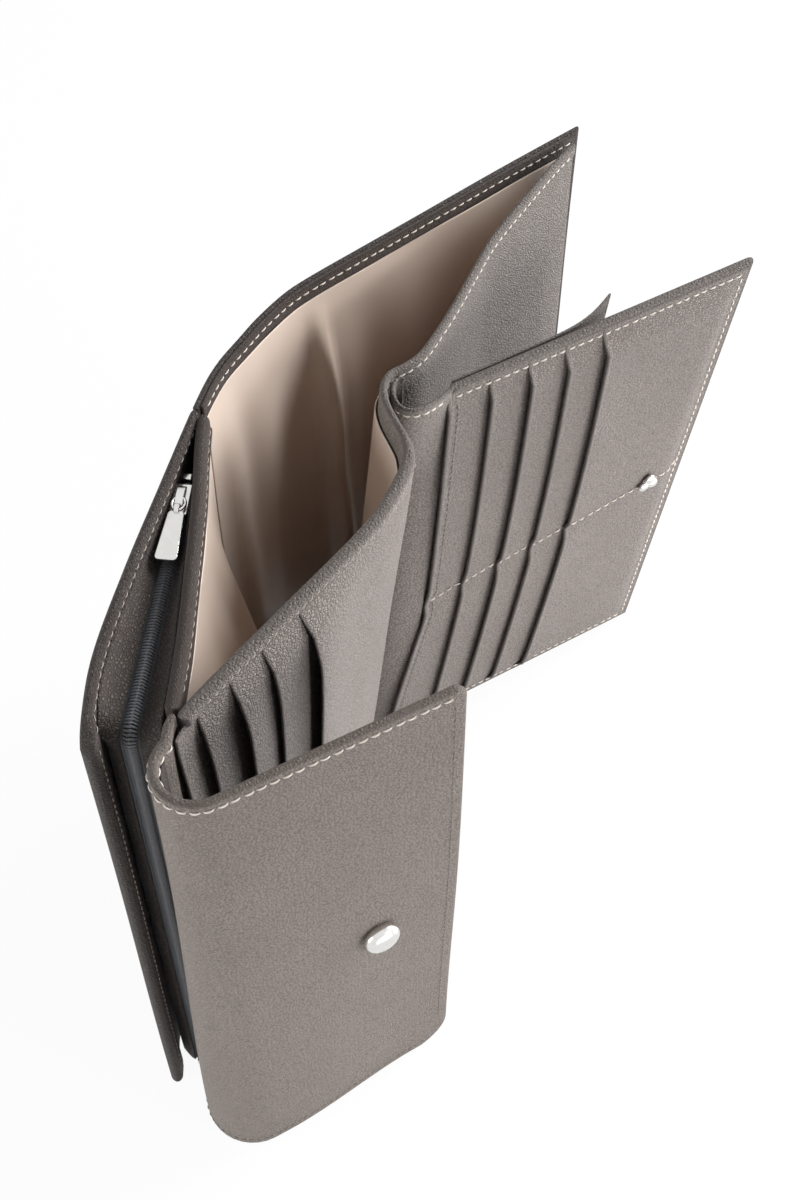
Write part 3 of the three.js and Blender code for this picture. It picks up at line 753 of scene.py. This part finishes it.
ringSettings = {"long": 2.0, "wide": 1.6, "wire": 0.42, "ahead": 2.6}
ring = bmesh.new()
hoop = []
for a in (k * math.pi / 20 for k in range(40)):
    hoop.append([])
    for b in (m * math.pi / 6 for m in range(12)):
        reach = ringSettings["wire"] * math.cos(b)
        x, y = (ringSettings["long"] + reach) * math.cos(a), (ringSettings["wide"] + reach) * math.sin(a)
        hoop[-1].append(ring.verts.new((x, y, ringSettings["wire"] * math.sin(b))))
for low, high in zip(hoop, hoop[1:] + hoop[:1]):
    for m in range(12):
        ring.faces.new([low[m], high[m], high[(m + 1) % 12], low[(m + 1) % 12]])
ring.transform(zipFrame(sliderSettings["along"] + ringSettings["ahead"], sliderSettings["pullLevel"]))
shadeByAngle(ring, 60)
keepNickel(ring, "pullRing", "pull", "pull_ring")

tabSettings = {"first": 5.1, "last": 19.9, "near": 2.0, "far": 2.8, "corner": 1.2, "eyeAt": 4.4, "thick": 1.0,
               "bevel": 0.28}


def roundedOutline(corners, radius, steps=5):
    outline = []
    for k, here in enumerate(corners):
        here = Vector(here)
        before, after = Vector(corners[k - 1]) - here, Vector(corners[(k + 1) % len(corners)]) - here
        a, b = here + before.normalized() * radius, here + after.normalized() * radius
        for step in range(steps + 1):
            t = step / steps
            outline.append(a * (1 - t) ** 2 + here * 2 * t * (1 - t) + b * t * t)
    return outline


eyeProfile = [(0.95, -0.6), (1.15, -0.7), (1.35, -0.7), (1.5, -0.55), (1.5, 0.55), (1.35, 0.7), (1.15, 0.7),
              (0.95, 0.6), (0.95, -0.6)]
tab = lathe(eyeProfile, 24)  # upright eye that hangs on the ring
tab.transform(Matrix.Translation((tabSettings["eyeAt"], 0, 0)) @ Matrix.Rotation(math.radians(90), 4, "X"))
tabFirst, tabLast, tabNear, tabFar = (tabSettings[key] for key in ("first", "last", "near", "far"))
tabOuter = roundedOutline([(tabFirst, -tabNear), (tabLast, -tabFar), (tabLast, tabFar), (tabFirst, tabNear)],
                          tabSettings["corner"])
tabFoot = tab.faces.new([tab.verts.new((p.x, p.y, -tabSettings["thick"] / 2)) for p in tabOuter])
raised = bmesh.ops.extrude_face_region(tab, geom=[tabFoot], use_keep_orig=True)
tabTop = [g for g in raised["geom"] if isinstance(g, bmesh.types.BMVert)]
bmesh.ops.translate(tab, verts=tabTop, vec=(0, 0, tabSettings["thick"]))
bmesh.ops.recalc_face_normals(tab, faces=tab.faces)
tabRims = list(tabFoot.edges) + [e for v in tabTop for e in v.link_edges if e.other_vert(v) in tabTop]
tabRims = [e for e in set(tabRims) if e.is_manifold and e.calc_face_angle() > 1.2]
softBevel(tab, tabRims, tabSettings["bevel"])
tab.transform(zipFrame(sliderSettings["along"], sliderSettings["pullLevel"]))
shadeByAngle(tab)
keepNickel(tab, "pullTab", "pull", "pull_tab")
print("zip made")

# bill pocket's front wall, its lining and the card pockets on its left half

frontSettings = {"leather": 1.5, "foot": 2.4, "stitch": 2.4, "lining": 0.45, "rollFrom": 185.6}
frontBlend = ("pocket_wall_left", "pocket_wall_right", place(-10, -12, 95), place(-10, 12, 95))
frontLong = frontPath.length
frontBend = frontPath.nearY(-26)


def frontSwell(s, z):
    return 0.3 * math.sin(s / 17 + 1.1) * math.sin(z / 29 + 0.3)


def frontRoll(s, z):  # the top edge is turned over the card pockets on the left half
    near = 0.5 + 1.5 * (1 - ease((s - frontBend) / 16))
    return near * ease((z - frontSettings["rollFrom"]) / 1.8)


def frontDrape(s, z):
    return 1.35 + frontSwell(s, z) + 0.5 * ease((183 - z) / 50) * (1 + math.sin(s / 6.3))


frontWall = Sheet(wallSurface(frontPath, lambda s, z: frontSwell(s, z) - frontRoll(s, z) / 2, True),
                  ticks(0, frontLong, 1.8),
                  ticks(frontSettings["foot"], walletHeight, 5, [frontSettings["rollFrom"], 186.4, 187.2]),
                  lambda s, z: frontSettings["leather"] + frontRoll(s, z), 1.3)
keep(frontWall.build(), "frontWall", leafHide, ("left_wall", "right_wall"), blend=frontBlend)
frontLining = Sheet(wallSurface(frontPath, frontDrape, True), ticks(20, frontLong - 12, 2),
                    ticks(5, 181.5, 5), frontSettings["lining"], 0.25)
frontLiningPiece = keep(frontLining.build(), "frontLining", satin,
                        ("left_wall_lining", "right_wall_lining"), blend=frontBlend)
rowLevel = walletHeight - frontSettings["stitch"]
frontRow = [(frontPath.nearY(-20), rowLevel), (frontLong - 3, rowLevel)]
stitchPiece("frontStitches", [frontWall.run(frontRow, 1)], blend=frontBlend)

cardSettings = {"sheet": 0.7, "step": 1.15, "top": 187.6, "foot": 5.0, "row": 188.3, "end": -19.0,
                "lips": (-115.4, -106.6, -96.2, -84.4, -72.4), "gape": (0.6, 1.2, 2.1, 0.6, 2.3)}
cardPath = PlanPath([(1.9, -119.6), (0.6, -115.4), (0.1, -110.5), (0.9, -102.5), (6.1, -75.9), (11.7, -47.3),
                     (12.6, -36), (11.6, -23.5), (8.6, -17.1), (4.7, -13.1), (0.5, -9.3)])
cardEnd = cardPath.nearY(cardSettings["end"])
openings = [(gape, cardPath.nearY(y)) for gape, y in zip(cardSettings["gape"], cardSettings["lips"])]
for i, lipY in enumerate(cardSettings["lips"]):
    lip = cardPath.nearY(lipY)

    def cardDepth(s, z, i=i, lip=lip):
        below, above = cardSettings["top"] - z, z - cardSettings["foot"]
        free = ease(below / 9) * ease(above / 9)
        pinch = 1 - 0.9 * ease((s - cardEnd + 56) / 34)
        step = 0.1 + (cardSettings["step"] - 0.1) * free * pinch
        opening = sum(gape * hump(max(s - edge, 0), 13) for gape, edge in openings[:i + 1])
        mouth = opening * ease((below - 1) / 22) * ease(above / 30)
        return -(1.35 + i * step + mouth + 0.15 * math.sin(z / 17 + i) * free)

    def cardSurface(s, z, lip=lip, depth=cardDepth):
        bow = 1.5 * ease((cardSettings["top"] - z) / 45) * hump(s - lip, 12)
        return wallSurface(cardPath, depth, True)(min(s + bow, cardPath.length), z)

    card = Sheet(cardSurface, ticks(lip, cardEnd, 2), ticks(cardSettings["foot"], cardSettings["top"], 4),
                 cardSettings["sheet"], 0.35)
    keep(card.build(), f"cardPocket{i + 1}", leafHide, (f"left_card_pocket_{i + 1}",),
         body="pocket_wall_left")
cardRow = [(6, cardSettings["row"]), (frontPath.nearY(-22), cardSettings["row"])]
stitchPiece("cardStitches", [frontWall.run(cardRow, 1)], body="pocket_wall_left",
            material=threadWarm, pitch=2.5, length=1.7, width=0.42)
print("front wall made")

# card leaf: hinge strip, base, back, flared pocket, card pockets, stud

leafSettings = {"width": 98.4, "height": 182.8, "corner": (9.2, 6.4, 185.6), "turns": (57.1, 6.6, 0.9),
                "base": 0.9, "rim": 2.0, "back": 0.6, "sheet": 0.42, "step": 0.6, "stitch": 3.4,
                "lips": (0.5, 12.4, 24.4, 35.9, 48.0), "gape": (1.1, 1.0, 1.3, 1.0, 1.2), "lip": 0.65}
leafTurn = (Matrix.Rotation(math.radians(leafSettings["turns"][0]), 4, "Z")
            @ Matrix.Rotation(math.radians(leafSettings["turns"][1]), 4, "X")
            @ Matrix.Rotation(math.radians(leafSettings["turns"][2]), 4, "Y"))
leafFrame = Matrix.Translation(place(*leafSettings["corner"])) @ leafTurn @ Matrix.Scale(mm, 4)
leafWide, leafTall = leafSettings["width"], leafSettings["height"]


def leafPoint(s, y, h):
    return leafFrame @ Vector((s, y, h))


hingePath = PlanPath([(-1.0, 3.0), (-2.5, 1.7), (-2.3, -1.1), (-0.6, -3.8), (1.7, -5.9), (4.2, -6.4),
                      (6.5, -5.2), (8.1, -2.6), (9.2, 1.3), (9.9, 5.1), (10.6, 9.4)])
hingeLow = PlanPath([(0.6, 8.2), (-0.2, 6.2), (-0.6, 4.4), (0.2, 2.9), (2.2, 2.4), (4.4, 3.0), (6.6, 4.6),
                     (8.6, 6.8), (10.6, 9.4)])


def hingeSurface(s, z):  # it lies back behind the leaf's panel below its curled top
    share = s / hingePath.length
    z += 2.7 * (1 - ease((share - 0.45) / 0.5)) * ease((z - 120) / 65)
    high = wallSurface(hingePath, 0.0, True)(s, z)
    low = wallSurface(hingeLow, 0.0, True)(hingeLow.length * share, z)
    return high.lerp(low, ease((186 - z) / 42))


hingeStrip = Sheet(hingeSurface, ticks(0, hingePath.length, 1.2), ticks(5, 185.8, 5), 1.2, 0.6)
hingeBlend = ("pocket_wall_right", "page", place(-9.5, 4, 95), place(-0.5, 4, 94.1))
keep(hingeStrip.build(), "hingeStrip", leafHide, ("page_hinge_strip",), blend=hingeBlend)
hingeRow = [(9, 183.5), (hingePath.length - 5, 183.5)]
stitchPiece("hingeStitches", [hingeStrip.run(hingeRow, 1)], blend=hingeBlend)


def rimThick(s, h):  # layers are bound together along the free edges
    near = min(-h, h + leafTall, leafWide - s)
    return leafSettings["base"] + leafSettings["rim"] * (1 - ease((near - 0.8) / 1.3))


base = Sheet(lambda s, h: leafPoint(s, 0.45, h), ticks(1.5, leafWide, 4, [leafWide - 1.5, leafWide - 2.6]),
             ticks(-leafTall, 0, 5, [-1.5, -2.6, 1.5 - leafTall, 2.6 - leafTall]), rimThick, 1.3)
keep(base.build(), "leafBase", leafHide, ("page_base",), body="page")
back = Sheet(lambda s, h: leafPoint(s, 1.2 + 0.5 * ease((leafWide - s) / 12) * ease((s - 2) / 12), h),
             ticks(2, leafWide - 1, 4), ticks(1 - leafTall, -1, 6), leafSettings["back"], 0.3)
keep(back.build(), "leafBack", leafHide, ("page_back_panel",), body="page")

flareAt = smoothCurve([(3, 2.4), (20, 2.6), (38, 2.9), (48, 4.6), (56.5, 8.2)])


def flarePoint(s, h):
    flare = flareAt(s) - 2.4
    return leafPoint(s, 2.4 + flare * (0.35 + 0.65 * ease((h + leafTall) / 90)), h)


flare = Sheet(flarePoint, ticks(3, 56.5, 2.5), ticks(-leafTall + 4, -0.6, 6), 0.7, 0.35)
keep(flare.build(), "leafBackPocket", leafHide, ("page_back_pocket",), body="page")

panelEdgeAt = smoothCurve([(-leafTall, -4.5), (-155.4, -2.0), (-127.8, 1.2), (-105.9, 3.4), (-60.9, 2.4),
                           (-26.5, 0.9), (0, -0.3)])
midAt = smoothCurve([(3.2, -104.3), (30, -97.6), (70.2, -90.4), (95.3, -87.4)])


def leafLip(i, h):
    if i == 0:
        return panelEdgeAt(h)
    return leafSettings["lips"][i] + 3.6 * math.sin(math.pi * min(max(-h / leafTall, 0), 1))


def leafDepth(i, s, h):
    rim = ease((min(-h, h + leafTall, leafWide - s) - 3.9) / 5)
    step = 0.08 + (leafSettings["step"] - 0.08) * rim
    middle = midAt(s)
    ends = ease((-h - 3) / 7) if h > middle else ease((h + leafTall - 3) / 12)
    swing = ends * ease((abs(h - middle) - 0.4) / 5)
    opening = sum(leafSettings["gape"][k] * hump(max(s - leafLip(k, h), 0), 10) for k in range(i + 1))
    return -(0.3 + leafSettings["sheet"] / 2 + i * step + opening * swing)


def lipFold(share, h):  # the edge of a pocket is turned in and stands thicker
    return leafSettings["lip"] * (1 - ease((share - 0.8) / 0.8)) * ease((min(-h, h + leafTall) - 3.9) / 2.5)


for i in range(5):
    def leafSurface(share, h, i=i):
        lip = leafLip(i, h)
        s = lip + (leafWide - 0.9 - lip) * share / (leafWide - leafSettings["lips"][i])
        return leafPoint(s, leafDepth(i, s, h) - lipFold(share, h) / 2, h)

    sheet = Sheet(leafSurface, ticks(0, leafWide - leafSettings["lips"][i], 2.5),
                  ticks(0.9 - leafTall, -0.9, 4), lambda share, h: leafSettings["sheet"] + lipFold(share, h),
                  0.22)
    keep(sheet.build(), f"leafPocket{i + 1}", leafHide, (f"page_card_pocket_{i + 1}",),
         body="page")


def leafFront(s, h):
    covering = max(i for i in range(5) if leafLip(i, h) <= s + 0.01 or i == 0)
    return leafPoint(s, leafDepth(covering, s, h) - leafSettings["sheet"] / 2, h)


leafOut = (leafPoint(0, -1, 0) - leafPoint(0, 0, 0)).normalized()


def leafRun(pairs):
    return [(leafFront(s, h), leafOut) for s, h in linePoints(pairs)]


inset = leafSettings["stitch"]
midLine = [(s, midAt(s)) for s in range(4, 97, 2)]
panelRow = [(leafLip(0, h) + 3.2, h) for h in range(-6, -179, -3)]
stitchPiece("leafStitches", [leafRun([(2, -inset), (leafWide - inset, -inset)]),
                             leafRun([(leafWide - inset, -inset), (leafWide - inset, -leafTall + inset)]),
                             leafRun([(3, -leafTall + inset), (leafWide - inset, -leafTall + inset)])],
            body="page", pitch=2.9, length=2.0, width=0.58, height=0.3)
stitchPiece("leafMidStitches", [leafRun(midLine)], body="page", pitch=3.0, length=2.2, width=0.6, height=0.4)
stitchPiece("leafPanelStitches", [leafRun(panelRow)], body="page", material=threadDark, pitch=2.6, length=1.7,
            width=0.4)

studSettings = {"at": (81.8, -87.3), "lobe": 1.9, "lift": 3.95, "flat": 0.55, "bevel": 0.25}
stud = bmesh.new()
bmesh.ops.create_cone(stud, cap_ends=True, segments=24, radius1=2.2, radius2=2.0, depth=0.9,
                      matrix=Matrix.Rotation(math.radians(90), 4, "X"))
studRims = [e for e in stud.edges if e.is_manifold and e.calc_face_angle() > 1.0]
softBevel(stud, studRims, studSettings["bevel"], 2)
for degrees in (90, 210, 330):
    a = math.radians(degrees)
    at = Matrix.Translation((studSettings["lobe"] * math.cos(a), -0.5, studSettings["lobe"] * math.sin(a)))
    bmesh.ops.create_uvsphere(stud, u_segments=20, v_segments=12, radius=studSettings["lobe"],
                              matrix=at @ Matrix.Diagonal((1, studSettings["flat"], 1, 1)))
studAcross, studUp = studSettings["at"]
stud.transform(leafFrame @ Matrix.Translation((studAcross, -studSettings["lift"], studUp)))
shadeByAngle(stud, 50)
keepNickel(stud, "leafStud", "page", "page_stud")
print("leaf made")

# flap: turn, outer leather, backing, snap

flapSettings = {"centre": (9.5, -119.2), "radius": 9.15, "angle": 55.0, "length": 60.3, "leather": 2.3,
                "backing": 0.5, "stitch": 3.2, "topCorner": 4.0, "footCorner": 13.0}
flapAngle = math.radians(flapSettings["angle"])
flapTurn = math.radians(flapSettings["angle"] + 270)
turnCentre = Vector(flapSettings["centre"])
flapDirection = Vector((math.cos(flapAngle), math.sin(flapAngle)))


def flapLine(radius, firstAngle, lead):
    first = math.radians(firstAngle)
    arc = [turnCentre + Vector((math.cos(a), math.sin(a))) * radius
           for a in (first + (flapTurn - first) * k / 40 for k in range(41))]
    return [Vector(p) for p in lead] + arc + [arc[-1] + flapDirection * flapSettings["length"] * k / 12
                                             for k in range(1, 13)]


flapPath = PlanPath(flapLine(flapSettings["radius"], 165, [(-1.3, -110.4), (-0.8, -113.4)]), True)
flapLong = flapPath.length
straightFrom = flapLong - flapSettings["length"]


def flapReach(z):  # how far the free edge stands at a height, with both corners rounded
    short = 0.0
    for low, radius in ((walletHeight - z, flapSettings["topCorner"]), (z, flapSettings["footCorner"])):
        if low < radius:
            short = max(short, radius - math.sqrt(max(radius ** 2 - (radius - low) ** 2, 0.0)))
    return flapLong - short


def flapWarp(s, z):
    if s < straightFrom:
        return s
    return straightFrom + (s - straightFrom) * (flapReach(z) - straightFrom) / (flapLong - straightFrom)


def flapSwell(s, z):
    out = max(s - straightFrom, 0.0) / flapSettings["length"]
    foot = 3.8 * ease(1 - z / 170) * ease(s / 12) * (1 - ease((s - straightFrom - 4) / 48))
    return 0.5 * math.sin(z / 33 + 0.4) * out - 0.9 * out * hump(z - 95, 60) - foot


def flapSurface(s, z):
    return wallSurface(flapPath, flapSwell)(flapWarp(s, z), z)


cornerRows = [0.4, 1, 1.8, 2.8, 4, 5.5, 7.2, 9, 11, 13]
cornerRows += [walletHeight - v for v in cornerRows]
flapLeather = Sheet(flapSurface, ticks(0, flapLong, 1.6), ticks(0, walletHeight, 5, cornerRows),
                    flapSettings["leather"], 1.15)
flapBlend = ("zip_panel", "flap", place(0, -119, 95), place(14, -119, 95))
keep(flapLeather.build(), "flapLeather", flapHide, ("flap_outer", "flap_root_tab"),
     blend=flapBlend)


def backingSurface(s, z):
    p = flapPath.point(flapWarp(s, z)) + flapPath.left(flapWarp(s, z)) * (1.5 + flapSwell(s, z))
    return place(p.x, p.y, z)


flapBacking = Sheet(backingSurface, ticks(10, flapLong - 2.6, 2),
                    ticks(2.6, walletHeight - 2.6, 5, cornerRows), flapSettings["backing"], 0.25)
keep(flapBacking.build(), "flapBacking", facingHide, ("flap_lining",), blend=flapBlend)

rowIn = flapSettings["stitch"]
rowTop = walletHeight - rowIn + 0.7
rootTop = walletHeight - 2.6
stitchPiece("flapStitchesTop", [flapLeather.run([(4, rowTop), (flapLong - 3, rowTop)]),
                                flapLeather.run([(6, rootTop), (26, rootTop)], -1)],
            blend=flapBlend, slot="cover_leather", pitch=3.0, length=2.3, width=0.62, height=0.3)
freeRow = flapLong - rowIn
stitchPiece("flapStitchesEdge", [flapLeather.run([(freeRow, 16), (freeRow, walletHeight - 5)]),
                                 flapLeather.run([(4, rowIn), (flapLong - 3, rowIn)])],
            blend=flapBlend, slot="cover_leather", material=threadDark, pitch=2.2, length=1.5, width=0.5,
            height=0.2)


def standOn(made, point, direction):
    turn = Vector((0, 0, 1)).rotation_difference(direction).to_matrix().to_4x4()
    made.transform(Matrix.Translation(point) @ turn @ Matrix.Scale(mm, 4))
    shadeByAngle(made, 40)
    return made


snapAt, snapHeight = straightFrom + 36.7, 94.8
snapFace, snapOut = flapLeather.face(snapAt, snapHeight), flapLeather.normal(snapAt, snapHeight)
capProfile = [(0, 4.5), (1.2, 4.46), (2.4, 4.3), (3.4, 4.0), (4.2, 3.55), (4.8, 2.9), (5.15, 2.1),
              (5.15, 1.3), (4.9, 0.6), (4.5, 0.02), (0, 0.02)]
keepNickel(standOn(lathe(capProfile), snapFace, snapOut), "snapCap", "flap", "snap_cap")
socketProfile = [(1.6, 0.0), (4.2, 0.0), (4.25, 0.3), (4.0, 0.8), (3.2, 1.2), (2.5, 1.35), (1.9, 1.25),
                 (1.6, 0.9), (1.6, 0.0)]
socketFace = snapFace - snapOut * 3.1 * mm
keepNickel(standOn(lathe(socketProfile), socketFace, -snapOut), "snapSocket", "flap", "snap_socket")

coverOut = Vector((-0.917, 0.398, 0))
studAt = coverLeather.face(coverLong - 24, snapHeight, -1)
studProfile = [(0, 2.6), (1.0, 2.55), (1.7, 2.2), (1.9, 1.7), (1.7, 1.3), (1.6, 1.0), (2.6, 0.8), (4.2, 0.6),
               (4.4, 0.3), (4.3, 0.02), (0, 0.02)]
keepNickel(standOn(lathe(studProfile), studAt, coverOut), "snapStud", "cover", "snap_stud", "snap_stud_post")
print("flap made")


# floors of the pockets


def ruledFloor(name, edgeA, edgeB, z, node, body):
    pathA, pathB = PlanPath(edgeA), PlanPath(edgeB)

    def surface(u, v):
        a, b = pathA.point(pathA.length * u / 100), pathB.point(pathB.length * u / 100)
        p = a.lerp(b, v / 20)
        return place(p.x, p.y, z + 0.25 * math.sin(u / 9 + v / 3))

    floor = Sheet(surface, ticks(0, 100, 4), ticks(0, 20, 2), 0.4, 0.25)
    piece = keep(floor.build(), name, satin, (node,), body=body)
    gaps = [pathA.point(pathA.length * u) - pathB.point(pathB.length * u) for u in (0, 0.25, 0.5, 0.75, 1)]


ruledFloor("billFloorFront", [(-5.5, -99), (-15, -78), (-27, -52), (-36, -30), (-40, -8)],
           [(-5.0, -98), (-7, -76), (-8.5, -48), (-14.5, -24), (-26, -5)], 1.0, "bill_floor_front",
           "zip_panel")
ruledFloor("billFloorBack", [(-38, 10), (-36.8, 20), (-25.5, 46.5), (-19.8, 58)],
           [(-27.5, 8), (-26.5, 22), (-21.5, 46), (-19, 57)], 1.8, "bill_floor_back", "cover")
zipFloorA = [zipWallPath.point(s) + zipWallPath.left(s) * -3.3 for s in (10, 30, 50, 70, 82)]
zipFloorB = [innerWallPath.point(s) + innerWallPath.left(s) * 2.9 for s in (6, 22, 38, 54, 66)]
ruledFloor("zipPocketFloor", zipFloorA, zipFloorB, 0.8, "zip_pocket_floor", "zip_panel")
print("floors made")


# floor, light, camera


def seenRays(tree):  # 1 for what is seen straight, mirrored or through glass
    rays = addNode(tree, "ShaderNodeLightPath")
    seen = addNode(tree, "ShaderNodeMath", operation="MAXIMUM")
    seenAll = addNode(tree, "ShaderNodeMath", operation="MAXIMUM")
    wire(tree, (rays, "Is Camera Ray", seen, 0), (rays, "Is Glossy Ray", seen, 1), (seen, 0, seenAll, 0),
         (rays, "Is Transmission Ray", seenAll, 1))
    return seenAll


white = (1.0, 1.0, 1.0, 1.0)
floorMesh = bmesh.new()
bmesh.ops.create_grid(floorMesh, x_segments=1, y_segments=1, size=3.0)
floorData = bpy.data.meshes.new("studioFloor")
floorMesh.to_mesh(floorData)
floorMesh.free()
studioFloor = bpy.data.objects.new("studioFloor", floorData)
bpy.context.scene.collection.objects.link(studioFloor)
floorPaint, floorTree, floorShader = newMaterial("floorPaint", {"Base Color": (0.92, 0.92, 0.92, 1.0),
                                                                "Roughness": 0.9})
share = addNode(floorTree, "ShaderNodeMath", {1: 0.94}, operation="MULTIPLY")
glow = addNode(floorTree, "ShaderNodeEmission", {"Color": white, "Strength": 1.0})
mixed = addNode(floorTree, "ShaderNodeMixShader")
wire(floorTree, (seenRays(floorTree), 0, share, 0), (share, 0, mixed, 0), (floorShader, 0, mixed, 1),
     (glow, 0, mixed, 2), (mixed, 0, floorTree.nodes["Material Output"], "Surface"))
floorData.materials.append(floorPaint)

world = bpy.data.worlds.new("studioWorld")
bpy.context.scene.world = world
world.use_nodes = True
worldTree = world.node_tree
fill = worldTree.nodes["Background"]
setInputs(fill, {"Color": (0.95, 0.97, 1.0, 1.0), "Strength": 0.12})
backdrop = addNode(worldTree, "ShaderNodeBackground", {"Color": white, "Strength": 1.0})
skyMix = addNode(worldTree, "ShaderNodeMixShader")
wire(worldTree, (seenRays(worldTree), 0, skyMix, 0), (fill, 0, skyMix, 1), (backdrop, 0, skyMix, 2),
     (skyMix, 0, worldTree.nodes["World Output"], 0))

for name, spot, aim, size, power in (("rightLight", (0.92, -0.09, 0.48), (0, 0, 0.1), 0.4, 4.8),
                                     ("backLight", (0.5, 0.82, 0.66), (0, 0.03, 0.1), 0.6, 18.5),
                                     ("leftLight", (-0.7, -0.95, 0.35), (0, 0, 0.08), 0.7, 12.0),
                                     ("frontCard", (0.24, -0.2, 0.04), (0.03, -0.09, 0.02), 0.25, 0.32),
                                     ("sideCard", (0.2, 0.06, 0.03), (0.04, 0.07, 0.02), 0.2, 0.3)):
    lamp = bpy.data.lights.new(name, "AREA")
    lamp.shape, lamp.size, lamp.energy = "DISK", size, power
    holder = bpy.data.objects.new(name, lamp)
    holder.location = spot
    holder.rotation_mode = "QUATERNION"
    holder.rotation_quaternion = (Vector(aim) - Vector(spot)).to_track_quat("-Z", "Y")
    bpy.context.scene.collection.objects.link(holder)

cameraSettings = {"at": (127.0, -265.5, 488.6), "pitch": 52.85, "heading": (-0.433, 0.901), "roll": 0.34,
                  "lens": 50.0}
pitch, roll = math.radians(cameraSettings["pitch"]), math.radians(cameraSettings["roll"])
heading = Vector(cameraSettings["heading"]).normalized()
look = Vector((heading.x * math.cos(pitch), heading.y * math.cos(pitch), -math.sin(pitch)))
level = Vector((heading.y, -heading.x, 0))
upward = level.cross(look)
cameraRight = level * math.cos(roll) + upward * math.sin(roll)
cameraUp = upward * math.cos(roll) - level * math.sin(roll)
cameraData = bpy.data.cameras.new("photoCamera")
cameraData.lens = cameraSettings["lens"]
cameraData.sensor_fit = "VERTICAL"
cameraData.sensor_height = 36.0
camera = bpy.data.objects.new("photoCamera", cameraData)
axes = Matrix((cameraRight, cameraUp, -look)).transposed().to_4x4()
camera.matrix_world = Matrix.Translation(place(*cameraSettings["at"])) @ axes
bpy.context.scene.collection.objects.link(camera)
bpy.context.scene.camera = camera
bpy.context.scene.view_settings.view_transform = "Standard"
print("stage made")
